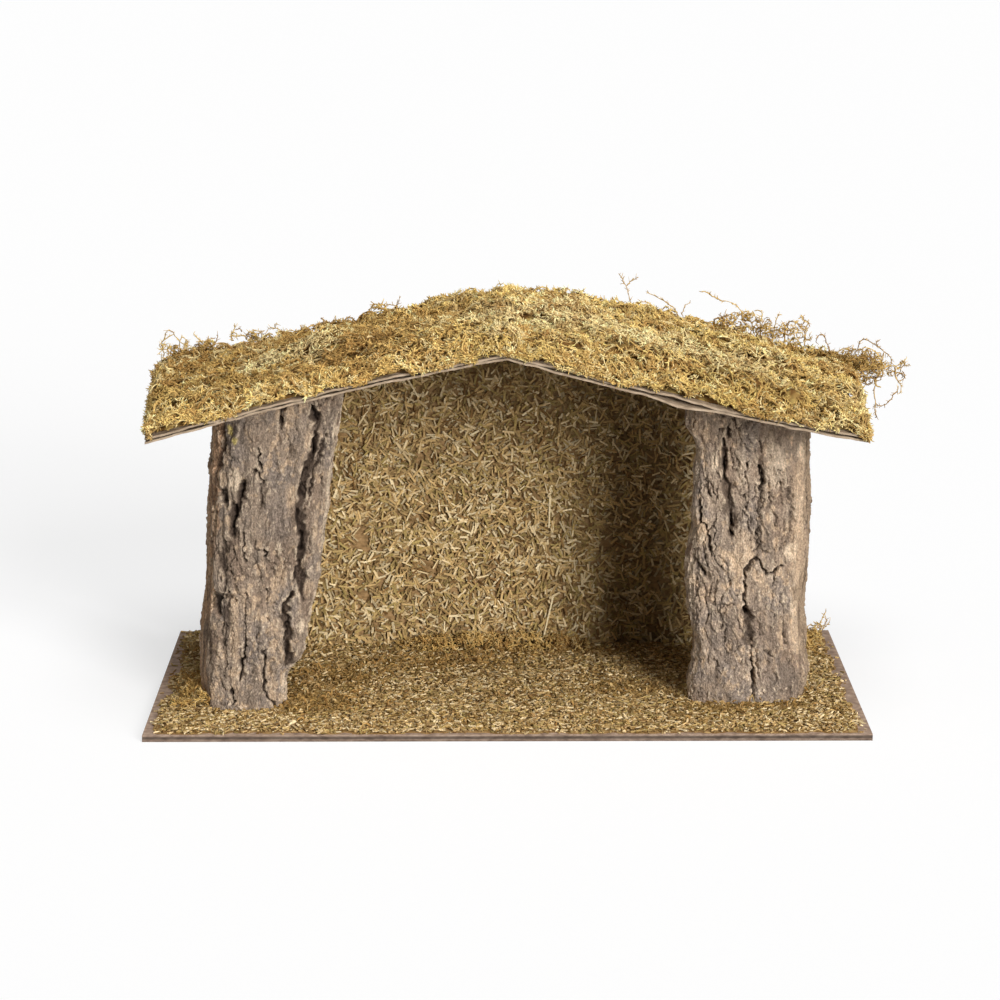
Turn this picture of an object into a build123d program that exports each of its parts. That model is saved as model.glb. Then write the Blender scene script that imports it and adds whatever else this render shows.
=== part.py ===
from build123d import *
import os
from math import ceil, cos, exp, hypot, pi, radians, sin, tan

# A small open-fronted nativity stable: hardboard base, two bark posts, a gabled back
# panel coated with straw, and a folded corrugated-board roof covered with moss.
# Millimetres. X points right, Y points back, Z points up, and the front faces -Y.
# The origin is at the centre of the base board's underside.

# Base board: a sheet of hardboard that lies on the table
BASE_WIDTH = 350.0
BASE_DEPTH = 180.0
BASE_THICK = 3.2

# Back panel: a gabled sheet of hardboard, set in from the base's edges
PANEL_SIDE_INSET = 27.0
PANEL_BACK_INSET = 25.0
PANEL_THICK = 3.0

# Roof: one sheet of corrugated board, two liners and a wavy paper, folded at the ridge
RIDGE_HEIGHT = 185.4
ROOF_PITCH_DEGREES = 13.25
EAVE_SETBACK = 5.0
ROOF_FRONT_SETBACK = 4.0
ROOF_BACK_SETBACK = 6.0
LINER_THICK = 0.5
FLUTE_HEIGHT = 2.9
FLUTE_PITCH = 7.9
FLUTE_PAPER = 0.4
FLUTE_GLUE_LINE = 0.05

# Bark posts: slabs of bark-covered wood, sawn flat at the back
# The inset is from the base's side edge, the setback from its front edge
LEFT_POST_INSET = 20.5
LEFT_POST_SETBACK = 34.0
LEFT_POST_WIDTH = 76.5
LEFT_POST_DEPTH = 48.0
RIGHT_POST_INSET = 23.0
RIGHT_POST_SETBACK = 43.0
RIGHT_POST_WIDTH = 65.0
RIGHT_POST_DEPTH = 40.0

# Plan of a post at any height: share of the width from its outer to its inner edge,
# then share of the depth from its front to its back
LEFT_PLAN_SHARES = (
    (0.00, 0.92), (0.03, 0.62), (0.07, 0.36), (0.12, 0.33), (0.17, 0.16), (0.26, 0.09),
    (0.31, 0.21), (0.36, 0.05), (0.50, 0.00), (0.64, 0.02), (0.73, 0.05), (0.78, 0.22),
    (0.84, 0.06), (0.95, 0.09), (1.00, 0.15), (1.00, 0.50), (0.90, 0.97), (0.45, 1.00),
)
RIGHT_PLAN_SHARES = (
    (0.00, 0.62), (0.03, 0.38), (0.08, 0.30), (0.14, 0.13), (0.26, 0.06), (0.36, 0.05),
    (0.42, 0.20), (0.47, 0.04), (0.56, 0.00), (0.65, 0.02), (0.71, 0.16), (0.77, 0.03),
    (0.86, 0.06), (0.91, 0.17), (0.96, 0.12), (1.00, 0.20), (0.99, 0.78), (0.50, 1.00),
    (0.04, 0.94),
)

# Outline of a post by height: share of the height, then shares of the width at which
# its outer and inner edges stand, then share of the depth that the bark is worn back
LEFT_LEVEL_SHARES = (
    (0.00, 0.005, 0.585, 0.00), (0.05, 0.00, 0.595, 0.00), (0.115, 0.00, 0.605, 0.03),
    (0.16, 0.00, 0.695, 0.04), (0.20, 0.007, 0.725, 0.03), (0.26, 0.017, 0.74, 0.01),
    (0.33, 0.033, 0.77, 0.01), (0.38, 0.043, 0.80, 0.03), (0.44, 0.05, 0.825, 0.05),
    (0.51, 0.058, 0.85, 0.04), (0.57, 0.066, 0.865, 0.03), (0.62, 0.07, 0.895, 0.02),
    (0.77, 0.088, 0.915, 0.05), (0.88, 0.107, 0.95, 0.06), (1.00, 0.12, 1.00, 0.04),
)
RIGHT_LEVEL_SHARES = (
    (0.00, 0.04, 0.945, 0.00), (0.05, 0.02, 0.955, 0.00), (0.09, 0.00, 0.935, 0.02),
    (0.14, 0.02, 0.915, 0.03), (0.20, 0.03, 0.90, 0.00), (0.30, 0.045, 0.96, 0.02),
    (0.38, 0.045, 0.98, 0.04), (0.47, 0.04, 0.97, 0.02), (0.535, 0.03, 0.93, 0.03),
    (0.66, 0.025, 0.925, 0.05), (0.735, 0.035, 0.925, 0.03), (0.80, 0.04, 0.91, 0.03),
    (0.83, 0.04, 0.94, 0.05), (0.865, 0.042, 1.00, 0.05), (1.00, 0.05, 0.97, 0.05),
)

# How far the bark's furrows wander sideways and in depth from level to level
BARK_WANDER_SHARE = 0.035
BARK_RIPPLE_SHARE = 0.06
BARK_WANDER_RADIANS = 1.9
BARK_ACROSS_RADIANS = 8.0

# Nails driven up through the base into the posts, places as shares of the post's plan
NAIL_DIAMETER = 1.8
NAIL_LENGTH = 24.0
NAIL_TIP = 3.0
NAIL_HEAD_DIAMETER = 4.0
NAIL_HEAD_THICK = 0.8
NAIL_SINK = 0.3
NAIL_FIT = 0.03
NAIL_TIP_SHARE = 0.2
LEFT_NAIL_SHARES = ((0.32, 0.60), (0.72, 0.55))
RIGHT_NAIL_SHARES = ((0.30, 0.60), (0.70, 0.60))

# Staples driven through the roof board into the post tops
STAPLE_CROWN = 11.0
STAPLE_LEG = 11.0
STAPLE_WIRE = 0.8
STAPLE_FIT = 0.04
LEFT_STAPLE_SHARES = ((0.36, 0.52), (0.68, 0.52))
RIGHT_STAPLE_SHARES = ((0.30, 0.56), (0.70, 0.56))

# Hot-melt beads behind the panel, along its foot and under the roof
FOOT_BEAD_LEG = 6.0
GABLE_BEAD_LEG = 5.0
BEAD_END_GAP = 3.0

# Chopped straw on the wall and chaff on the floor
STRAW_THICK = 1.8
STRAW_TOP_GAP = 1.5
STRAW_SIDE_GAP = 1.0
LITTER_THICK = 1.6
LITTER_MARGIN = 4.0
LITTER_GAP = 0.6

# Moss on the roof: eight tufts laid edge to edge, thin at the rim, at the ridge and at the left back
# It hangs over the eaves, further at the back
MOSS_THICK = 9.0
MOSS_RIM_THICK = 3.5
MOSS_RIM_RUN = 14.0
MOSS_RIDGE_SINK = 2.0
MOSS_RIDGE_RUN = 26.0
MOSS_FRONT_OVERHANG = 4.0
MOSS_BACK_OVERHANG = 13.0
MOSS_WORN_SHARE = 0.7
MOSS_WORN_RUN = 24.0
MOSS_SEAM = 0.4
MOSS_LUMP = 1.5
MOSS_LUMP_LENGTH = 58.0
MOSS_CELL = 8.0
MOSS_SPLIT_SHARE = 0.5

# Loose sprigs at the roof's rear corners: bent stems that stand out of the moss
# Each stem: root as shares of half the span and of the depth, then shares of the reach,
# the drift to the back, the rise of the tip and the bow of the stem
STEM_DIAMETER = 1.2
STEM_GAP = 0.15
SPRIG_REACH = 40.0
SPRIG_RISE = 16.0
LEFT_STEM_SHARES = (
    (0.93, 0.86, 0.18, 0.13, 0.60, 0.30),
    (0.97, 0.70, 0.16, 0.07, 0.35, 0.35),
    (0.84, 0.92, 0.13, 0.16, 0.55, 0.25),
)
RIGHT_STEM_SHARES = (
    (0.94, 0.62, 0.98, 0.10, 0.35, 0.45),
    (0.90, 0.74, 0.75, 0.13, 0.85, 0.35),
    (0.95, 0.50, 0.75, -0.07, -0.25, 0.60),
    (0.86, 0.88, 0.36, 0.13, 0.95, 0.30),
    (0.70, 0.93, 0.23, 0.13, 0.70, 0.20),
)

# Moss on the floor
WALL_MOSS_LENGTH = 96.0
WALL_MOSS_OFFSET = -6.0
WALL_MOSS_WIDTH = 11.0
WALL_MOSS_HEIGHT = 6.0
POST_MOSS_WIDTH = 10.0
POST_MOSS_HEIGHT = 5.0
REAR_MOSS_WIDTH = 13.0
REAR_MOSS_LENGTH = 26.0
REAR_MOSS_HEIGHT = 13.0
FLOOR_MOSS_GAP = 0.4
POST_MOSS_GAP = 1.3
MOUND_SECTION_COUNT = 7
MOUND_RIPPLE_COUNT = 3
POST_MOSS_SECTION_COUNT = 5
MOUND_END_SHARE = 0.35
MOUND_RIM_SHARE = 0.25
MOUND_RIPPLE_SHARE = 0.15
MOUND_SHOULDER_SHARE = 0.75

# Extra length of every cutting tool
OVERRUN = 1.0

# Places worked out from the sizes above
half_width = BASE_WIDTH / 2
half_depth = BASE_DEPTH / 2
slope = radians(ROOF_PITCH_DEGREES)
board_thick = 2 * LINER_THICK + FLUTE_HEIGHT
half_span = half_width - EAVE_SETBACK
roof_front = -half_depth + ROOF_FRONT_SETBACK
roof_back = half_depth - ROOF_BACK_SETBACK
roof_depth = roof_back - roof_front
roof_middle = (roof_front + roof_back) / 2
half_panel = half_width - PANEL_SIDE_INSET
panel_back = half_depth - PANEL_BACK_INSET
panel_front = panel_back - PANEL_THICK
straw_front = panel_front - STRAW_THICK
litter_top = BASE_THICK + LITTER_THICK


def roof_under(x):
    """Height of the roof board's underside at a place across the span."""
    return RIDGE_HEIGHT - abs(x) * tan(slope)


def roof_at(x, lift):
    """Height at a distance above the roof's underside, measured square to the slope."""
    return roof_under(x) + lift / cos(slope)


def roof_top(x):
    """Height of the roof board's upper face."""
    return roof_at(x, board_thick)


def polyhedron(faces):
    """A closed solid from flat faces, each a list of points."""
    return Solid(Shell([Face(Wire.make_polygon(face)) for face in faces]))


def stacked_solid(rings):
    """A closed solid through rings of points, with flat ends."""
    faces = [rings[0], rings[-1]]
    for near, far in zip(rings, rings[1:]):
        for i in range(len(near)):
            j = (i + 1) % len(near)
            faces.append([near[i], near[j], far[j]])
            faces.append([near[i], far[j], far[i]])
    return polyhedron(faces)


def plate(points, plane, thick):
    """A flat sheet with the given outline, drawn on a plane and made thick along it."""
    return extrude(plane * make_face(Polyline(*points, close=True)), thick)


def gable_plate(half, low, top, front, thick):
    """An upright gabled sheet whose top edges follow the roof."""
    points = [(-half, low), (half, low), (half, top(half)), (0, top(0)), (-half, top(half))]
    return plate(points, Plane.XZ.offset(-front - thick), thick)


# Bark posts


def post_place(post, across, back, level):
    """A point of a post: shares of its plan, at one of its levels."""
    height_share, outer_share, inner_share, worn_share = level
    across_share = outer_share + across * (inner_share - outer_share)
    x = post["side"] * (half_width - post["inset"] - across_share * post["width"])
    y = post["setback"] - half_depth + (worn_share + back * (1 - worn_share)) * post["depth"]
    z = BASE_THICK + height_share * (roof_under(x) - BASE_THICK)
    return (x, y, z)


def post_ring(post, step):
    """The outline of a post at one of its levels, its furrows wandering from level to level."""
    ring = []
    for across, back in post["plan"]:
        phase = BARK_WANDER_RADIANS * step + BARK_ACROSS_RADIANS * across
        bark = (1 - back) * sin(pi * across)
        wander = BARK_WANDER_SHARE * bark * sin(phase)
        ripple = BARK_RIPPLE_SHARE * bark * (1 + cos(phase))
        ring.append(post_place(post, across + wander, back + ripple, post["levels"][step]))
    return ring


def grown(points, margin):
    """The outline moved away from its middle by a margin."""
    middle_x = sum(point[0] for point in points) / len(points)
    middle_y = sum(point[1] for point in points) / len(points)
    moved = []
    for point in points:
        run_x = point[0] - middle_x
        run_y = point[1] - middle_y
        stretch = 1 + margin / hypot(run_x, run_y)
        moved.append((middle_x + run_x * stretch, middle_y + run_y * stretch))
    return moved


def nail_places(post):
    """Where the nails of a post stand."""
    return [post_place(post, across, back, post["levels"][0])[:2] for across, back in post["nails"]]


def staple_frames(post):
    """Where the staples of a post lie on the roof, tilted with the slope."""
    frames = []
    for across, back in post["staples"]:
        x, y, _ = post_place(post, across, back, post["levels"][-1])
        frames.append(Location((x, y, roof_top(x)), (0, post["side"] * ROOF_PITCH_DEGREES, 0)))
    return frames


def upright(diameter, low, high):
    """A round bar or bore between two heights."""
    bar = Cylinder(diameter / 2, high - low, align=(Align.CENTER, Align.CENTER, Align.MIN))
    return Pos(0, 0, low) * bar


nail_seat = NAIL_SINK + NAIL_HEAD_THICK
nail_end = nail_seat + NAIL_LENGTH


def nail():
    """A wire nail with its head sunk just below the base's underside."""
    tip = Cone(NAIL_DIAMETER / 2, NAIL_DIAMETER / 2 * NAIL_TIP_SHARE, NAIL_TIP,
               align=(Align.CENTER, Align.CENTER, Align.MIN))
    head = upright(NAIL_HEAD_DIAMETER, NAIL_SINK, nail_seat)
    return head + upright(NAIL_DIAMETER, nail_seat, nail_end) + Pos(0, 0, nail_end) * tip


def nail_bore():
    """The bore that the nail's shank makes."""
    return upright(NAIL_DIAMETER + 2 * NAIL_FIT, 0, nail_end + NAIL_TIP + NAIL_FIT)


def nail_sink_hole():
    """The sunk seat of the nail's head, open to the underside."""
    return upright(NAIL_HEAD_DIAMETER + 2 * NAIL_FIT, -OVERRUN, nail_seat)


staple_side = STAPLE_CROWN / 2


def staple():
    """A flat-crowned staple that straddles its own origin, legs down."""
    inner = staple_side - STAPLE_WIRE
    points = [(-staple_side, STAPLE_WIRE), (staple_side, STAPLE_WIRE), (staple_side, -STAPLE_LEG),
              (inner, -STAPLE_LEG), (inner, 0), (-inner, 0), (-inner, -STAPLE_LEG),
              (-staple_side, -STAPLE_LEG)]
    return plate(points, Plane.YZ.offset(-STAPLE_WIRE / 2), STAPLE_WIRE)


def staple_slots():
    """The slots that the staple's legs make."""
    side = STAPLE_WIRE + 2 * STAPLE_FIT
    slot = Box(side, side, STAPLE_LEG + STAPLE_FIT + OVERRUN, align=(Align.CENTER, Align.CENTER, Align.MIN))
    middle = staple_side - STAPLE_WIRE / 2
    low = -STAPLE_LEG - STAPLE_FIT
    return [Pos(0, middle, low) * slot, Pos(0, -middle, low) * slot]


def crown_hollow():
    """The room that the staple's crown takes in the moss."""
    side = STAPLE_WIRE + 2 * STAPLE_FIT
    length = STAPLE_CROWN + 2 * STAPLE_FIT
    height = STAPLE_WIRE + STAPLE_FIT + OVERRUN
    return Pos(0, 0, -OVERRUN) * Box(side, length, height, align=(Align.CENTER, Align.CENTER, Align.MIN))


left_post = {
    "side": -1, "inset": LEFT_POST_INSET, "setback": LEFT_POST_SETBACK, "width": LEFT_POST_WIDTH,
    "depth": LEFT_POST_DEPTH, "plan": LEFT_PLAN_SHARES, "levels": LEFT_LEVEL_SHARES,
    "nails": LEFT_NAIL_SHARES, "staples": LEFT_STAPLE_SHARES,
}
right_post = {
    "side": 1, "inset": RIGHT_POST_INSET, "setback": RIGHT_POST_SETBACK, "width": RIGHT_POST_WIDTH,
    "depth": RIGHT_POST_DEPTH, "plan": RIGHT_PLAN_SHARES, "levels": RIGHT_LEVEL_SHARES,
    "nails": RIGHT_NAIL_SHARES, "staples": RIGHT_STAPLE_SHARES,
}
posts = (left_post, right_post)


def bark_post(post):
    """A slab of bark-covered wood from the base up to the roof's underside."""
    solid = stacked_solid([post_ring(post, step) for step in range(len(post["levels"]))])
    for x, y in nail_places(post):
        solid -= Pos(x, y) * nail_bore()
    for frame in staple_frames(post):
        for slot in staple_slots():
            solid -= frame * slot
    return solid


# Base, panel and roof board


def base_board():
    """The hardboard base with its nail holes."""
    board = Pos(0, 0, BASE_THICK / 2) * Box(BASE_WIDTH, BASE_DEPTH, BASE_THICK)
    for post in posts:
        for x, y in nail_places(post):
            board -= Pos(x, y) * nail_bore()
            board -= Pos(x, y) * nail_sink_hole()
    return board


def slope_pair(face):
    """A section at the ridge, drawn out down both slopes to the eaves."""
    run = half_span / cos(slope)
    right = extrude(face, run, dir=(cos(slope), 0, -sin(slope)))
    left = extrude(face, run, dir=(-cos(slope), 0, -sin(slope)))
    return right + left


def stapled(ply):
    """A ply of the roof board with the staples' slots."""
    for post in posts:
        for frame in staple_frames(post):
            for slot in staple_slots():
                ply -= frame * slot
    return ply


def liner(low, high):
    """One paper liner, between two distances above the roof's underside."""
    points = [(roof_front, roof_at(0, low)), (roof_back, roof_at(0, low)),
              (roof_back, roof_at(0, high)), (roof_front, roof_at(0, high))]
    return stapled(slope_pair(Plane.YZ * make_face(Polyline(*points, close=True))))


def fluting():
    """The wavy paper between the liners, its waves side by side from front to back."""
    waves = max(1, round(roof_depth / FLUTE_PITCH))
    half_wave = roof_depth / waves / 2
    swing = (FLUTE_HEIGHT - FLUTE_PAPER) / 2 - FLUTE_GLUE_LINE
    middle = LINER_THICK + FLUTE_HEIGHT / 2

    def edge(shift):
        arcs = []
        for i in range(2 * waves):
            start = roof_front + i * half_wave
            crest = middle + shift + (swing if i % 2 == 0 else -swing)
            level = roof_at(0, middle + shift)
            arcs.append(ThreePointArc((start, level), (start + half_wave / 2, roof_at(0, crest)),
                                      (start + half_wave, level)))
        return arcs

    lower = edge(-FLUTE_PAPER / 2)
    upper = edge(FLUTE_PAPER / 2)
    ends = [Line(lower[0] @ 0, upper[0] @ 0), Line(lower[-1] @ 1, upper[-1] @ 1)]
    return stapled(slope_pair(Plane.YZ * make_face(Curve() + lower + upper + ends)))


# Glue beads


def bead_section(y, z, leg):
    """A three-cornered bead in the corner under or over a face behind the panel."""
    return Plane.YZ * make_face(Polyline((y, z), (y + abs(leg), z), (y, z + leg), close=True))


def panel_glue_bead():
    """The bead along the panel's foot."""
    length = 2 * (half_panel - BEAD_END_GAP)
    section = Pos(-length / 2, 0, 0) * bead_section(panel_back, BASE_THICK, FOOT_BEAD_LEG)
    return extrude(section, length, dir=(1, 0, 0))


def gable_glue_beads():
    """One bead down each slope, in the corner of the panel and the roof."""
    beads = []
    run = (half_panel - 2 * BEAD_END_GAP) / cos(slope)
    for side in (-1, 1):
        start = side * BEAD_END_GAP
        drop = roof_under(start)
        section = Pos(start, 0, 0) * bead_section(panel_back, drop, -GABLE_BEAD_LEG)
        beads.append(extrude(section, run, dir=(side * cos(slope), 0, -sin(slope))))
    return beads


# Straw and chaff


def wall_straw():
    """The coat of chopped straw on the panel's front."""
    def top(x):
        return roof_under(x) - STRAW_TOP_GAP
    return gable_plate(half_panel - STRAW_SIDE_GAP, BASE_THICK, top, straw_front, STRAW_THICK)


def floor_litter():
    """The coat of chaff on the base, open where the posts and the panel stand."""
    coat = Rectangle(BASE_WIDTH - 2 * LITTER_MARGIN, BASE_DEPTH - 2 * LITTER_MARGIN)
    for post in posts:
        foot = [point[:2] for point in post_ring(post, 0)]
        coat -= offset(make_face(Polyline(*foot, close=True)), LITTER_GAP, kind=Kind.INTERSECTION)
    front = straw_front - LITTER_GAP
    back = panel_back + FOOT_BEAD_LEG + LITTER_GAP
    wall = Rectangle(2 * (half_panel + LITTER_GAP), back - front)
    coat -= Pos(0, (front + back) / 2) * wall
    return extrude(Pos(0, 0, BASE_THICK) * coat, LITTER_THICK)


# Moss


def moss_edge(y):
    """How far out from the ridge the moss reaches, at a place from front to back."""
    back_share = (y - roof_front) / roof_depth
    overhang = MOSS_FRONT_OVERHANG + (MOSS_BACK_OVERHANG - MOSS_FRONT_OVERHANG) * back_share
    return half_span + overhang


def moss_wear(x, y):
    """Share of the moss that is missing: most at the ridge's back end, fading out to the left."""
    back_share = max(0, (y - roof_middle) / (roof_back - roof_middle))
    if x > 0:
        side_share = max(0, 1 - x / MOSS_WORN_RUN)
    else:
        side_share = 1 - (x / moss_edge(y)) ** 2
    return MOSS_WORN_SHARE * back_share * side_share


def moss_height(x, y):
    """How far the roof's moss stands above the board."""
    to_rim = max(0, min(moss_edge(y) - abs(x), y - roof_front, roof_back - y))
    swell = min(1, to_rim / MOSS_RIM_RUN)
    turn = 2 * pi / MOSS_LUMP_LENGTH
    lump = MOSS_LUMP * (sin(turn * x) * cos(turn * y) + sin(turn * (x + y) / 2))
    sink = MOSS_RIDGE_SINK * exp(-(x / MOSS_RIDGE_RUN) ** 2)
    full = MOSS_RIM_THICK + (MOSS_THICK - MOSS_RIM_THICK - sink + lump) * swell * (2 - swell)
    return full * (1 - moss_wear(x, y))


def moss_top(x, y):
    """Height of the moss's upper face."""
    return roof_top(x) + moss_height(x, y)


def moss_tuft(side, near, far, front, back):
    """One tuft on a slope: flat below, lumpy above, upright at its four sides.

    The far edge is a rule that gives its distance from the ridge at a place from front to back.
    """
    columns = ceil((far(back) - near) / MOSS_CELL)
    rows = ceil((back - front) / MOSS_CELL)
    ys = [front + (back - front) * j / rows for j in range(rows + 1)]

    def across(y):
        return [side * (near + (far(y) - near) * i / columns) for i in range(columns + 1)]

    def low(x, y):
        return (x, y, roof_top(x))

    def high(x, y):
        return (x, y, moss_top(x, y))

    inner = [(across(y)[0], y) for y in ys]
    outer = [(across(y)[-1], y) for y in ys]
    faces = [[low(*place) for place in (inner[0], outer[0], outer[-1], inner[-1])]]
    for row in (0, -1):
        crest = [high(x, ys[row]) for x in reversed(across(ys[row]))]
        faces.append([low(*inner[row]), low(*outer[row])] + crest)
    for edge in (inner, outer):
        faces.append([low(*edge[0]), low(*edge[-1])] + [high(*place) for place in reversed(edge)])
    for near_y, far_y in zip(ys, ys[1:]):
        near_row = [high(x, near_y) for x in across(near_y)]
        far_row = [high(x, far_y) for x in across(far_y)]
        for i in range(columns):
            faces.append([near_row[i], near_row[i + 1], far_row[i + 1]])
            faces.append([near_row[i], far_row[i + 1], far_row[i]])
    solid = polyhedron(faces)
    for post in posts:
        for frame in staple_frames(post):
            place = frame.position
            if front < place.Y < back and near < side * place.X < far(place.Y):
                solid -= frame * crown_hollow()
    return solid


def roof_moss():
    """The eight tufts by name."""
    seam = MOSS_SEAM / 2
    split = half_span * MOSS_SPLIT_SHARE

    def split_edge(y):
        return split - seam

    bands = {"upper": (seam, split_edge), "lower": (split + seam, moss_edge)}
    rows = {"front": (roof_front, roof_middle - seam), "back": (roof_middle + seam, roof_back)}
    sides = {"left": -1, "right": 1}
    tufts = {}
    for band, (near, far) in bands.items():
        for row, (front, back) in rows.items():
            for name, side in sides.items():
                tufts["roof_moss_" + name + "_" + band + "_" + row] = moss_tuft(side, near, far, front, back)
    return tufts


def sprig_stems(side, stem_shares):
    """Bent stems that stand on the moss of one slope."""
    stems = []
    for across, along, reach, drift, rise, bow in stem_shares:
        x = side * across * half_span
        y = roof_front + along * roof_depth
        root = Vector(x, y, moss_top(x, y) + STEM_DIAMETER / 2 + STEM_GAP)
        span = Vector(side * reach * SPRIG_REACH, drift * SPRIG_REACH, rise * SPRIG_RISE)
        crest = root + span / 2 + Vector(0, 0, bow * SPRIG_RISE)
        path = ThreePointArc(root, crest, root + span)
        section = Plane(root, z_dir=path % 0) * Circle(STEM_DIAMETER / 2)
        stems.append(sweep(section, path=path))
    return stems


def mound_sections(place, length, width, height):
    """Rings of a low mound: one side upright against its neighbour, the other rounded off."""
    rings = []
    for i in range(MOUND_SECTION_COUNT):
        along = i / (MOUND_SECTION_COUNT - 1)
        swell = MOUND_END_SHARE + (1 - MOUND_END_SHARE) * sin(pi * along)
        swell *= 1 + MOUND_RIPPLE_SHARE * sin(MOUND_RIPPLE_COUNT * pi * along)
        reach = width * swell
        rise = height * swell
        profile = [(0, 0), (reach, 0), (reach, rise * MOUND_RIM_SHARE),
                   (reach * MOUND_SHOULDER_SHARE, rise * MOUND_SHOULDER_SHARE),
                   (reach * (1 - MOUND_SHOULDER_SHARE), rise), (0, rise * MOUND_SHOULDER_SHARE)]
        rings.append([place(along * length, out, litter_top + up) for out, up in profile])
    return rings


def wall_foot_moss():
    """The strip of moss along the foot of the straw wall."""
    left = WALL_MOSS_OFFSET - WALL_MOSS_LENGTH / 2
    back = straw_front - LITTER_GAP - FLOOR_MOSS_GAP

    def place(along, out, up):
        return (left + along, back - out, up)

    return stacked_solid(mound_sections(place, WALL_MOSS_LENGTH, WALL_MOSS_WIDTH, WALL_MOSS_HEIGHT))


def right_rear_moss():
    """The tuft of moss beside the panel's right end."""
    left = half_panel + LITTER_GAP + FLOOR_MOSS_GAP
    front = panel_back - REAR_MOSS_LENGTH

    def place(along, out, up):
        return (left + out, front + along, up)

    return stacked_solid(mound_sections(place, REAR_MOSS_LENGTH, REAR_MOSS_WIDTH, REAR_MOSS_HEIGHT))


def left_post_moss():
    """The strip of moss that follows the left post's outer foot."""
    foot = post_ring(left_post, 0)
    gap = POST_MOSS_GAP + LITTER_GAP
    near = grown(foot, gap)[:POST_MOSS_SECTION_COUNT]
    far = grown(foot, gap + POST_MOSS_WIDTH)[:POST_MOSS_SECTION_COUNT]
    crest = grown(foot, gap + POST_MOSS_WIDTH * (1 - MOUND_SHOULDER_SHARE))[:POST_MOSS_SECTION_COUNT]
    top = litter_top + POST_MOSS_HEIGHT
    rim = litter_top + POST_MOSS_HEIGHT * MOUND_RIM_SHARE
    shoulder = litter_top + POST_MOSS_HEIGHT * MOUND_SHOULDER_SHARE
    rings = []
    for inner, outer, ridge in zip(near, far, crest):
        rings.append([(*inner, litter_top), (*outer, litter_top), (*outer, rim), (*ridge, top),
                      (*inner, shoulder)])
    return stacked_solid(rings)


pieces = {
    "base_board": base_board(),
    "back_panel": gable_plate(half_panel, BASE_THICK, roof_under, panel_front, PANEL_THICK),
    "left_bark_post": bark_post(left_post),
    "right_bark_post": bark_post(right_post),
    "roof_bottom_liner": liner(0, LINER_THICK),
    "roof_fluting": fluting(),
    "roof_top_liner": liner(board_thick - LINER_THICK, board_thick),
    **roof_moss(),
    "left_corner_sprigs": Compound(sprig_stems(-1, LEFT_STEM_SHARES)),
    "right_corner_sprigs": Compound(sprig_stems(1, RIGHT_STEM_SHARES)),
    "wall_straw": wall_straw(),
    "floor_litter": floor_litter(),
    "wall_foot_moss": wall_foot_moss(),
    "left_post_moss": left_post_moss(),
    "right_rear_moss": right_rear_moss(),
    "post_nails": Compound([Pos(x, y) * nail() for post in posts for x, y in nail_places(post)]),
    "roof_staples": Compound([frame * staple() for post in posts for frame in staple_frames(post)]),
    "panel_glue_bead": panel_glue_bead(),
    "gable_glue_beads": Compound(gable_glue_beads()),
}

os.makedirs("parts", exist_ok=True)
for name, piece in pieces.items():
    export_step(piece, "parts/" + name + ".step")
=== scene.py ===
"""Looks of a small nativity stable: bark posts, straw wall, strewn floor and mossy roof.

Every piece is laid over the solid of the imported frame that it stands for.
Shapes are worked out in millimetres and handed over in metres.
"""

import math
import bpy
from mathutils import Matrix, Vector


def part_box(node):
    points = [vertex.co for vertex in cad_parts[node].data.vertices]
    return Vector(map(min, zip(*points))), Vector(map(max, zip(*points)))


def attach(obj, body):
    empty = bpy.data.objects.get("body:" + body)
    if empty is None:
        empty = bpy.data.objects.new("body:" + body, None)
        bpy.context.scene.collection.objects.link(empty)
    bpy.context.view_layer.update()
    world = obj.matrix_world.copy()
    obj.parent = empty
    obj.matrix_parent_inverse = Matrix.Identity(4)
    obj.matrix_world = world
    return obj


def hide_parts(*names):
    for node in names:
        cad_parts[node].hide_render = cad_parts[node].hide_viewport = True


bl_info = {
    "name": "Nativity stable looks",
    "version": (1, 0, 0),
    "blender": (4, 5, 0),
    "location": "View3D > Sidebar > Stable",
    "description": "Builds the bark, moss, straw, chaff and board of a small nativity stable",
    "category": "Object",
}

import bpy
import numpy as np
from bpy.props import FloatProperty, FloatVectorProperty, IntProperty, PointerProperty
from mathutils import Euler, Vector
from mathutils.bvhtree import BVHTree

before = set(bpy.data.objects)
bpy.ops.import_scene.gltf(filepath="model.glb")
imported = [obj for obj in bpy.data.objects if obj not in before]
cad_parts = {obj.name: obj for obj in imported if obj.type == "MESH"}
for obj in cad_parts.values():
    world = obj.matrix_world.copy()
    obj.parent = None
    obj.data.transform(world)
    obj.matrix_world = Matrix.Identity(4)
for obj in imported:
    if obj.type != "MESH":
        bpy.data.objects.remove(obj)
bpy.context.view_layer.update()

MM = 0.001
SHEET_NAME = "OFBake"
TINT_NAME = "tint"

# Seeds, one for each kind of piece, so that every build is the same
BARK_SEED = 11
MOSS_SEED = 23
SPRIG_SEED = 37
STRAW_SEED = 41
LITTER_SEED = 53
BOARD_SEED = 67

# Repeatable noise
HASH_PRIMES = np.array((73856093, 19349663, 83492791))
HASH_SEED_PRIME = 49979687
HASH_MIX = 1274126177
HASH_SHIFTS = (13, 16)
HASH_TOP = 65535
CUBE_CORNERS = np.array(list(np.ndindex(2, 2, 2)))

# Camera, and views of the photo on which features were picked: the corner and scale of each enlarged view
PHOTO_SIDE = 1000
CAMERA_PLACE = (-0.0121969, -1.3869214, 0.4296134)
CAMERA_TURN = (1.3356546, 0.0, -0.0065853)
CAMERA_LENS = 102.309
CAMERA_SENSOR = 36.0
LEFT_POST_VIEW = {"corner": (190, 400), "scale": 4.9}
RIGHT_POST_VIEW = {"corner": (670, 400), "scale": 4.9}
LEFT_ROOF_VIEW = {"corner": (140, 280), "scale": 6.031}
RIGHT_ROOF_VIEW = {"corner": (640, 280), "scale": 5.807}

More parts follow.
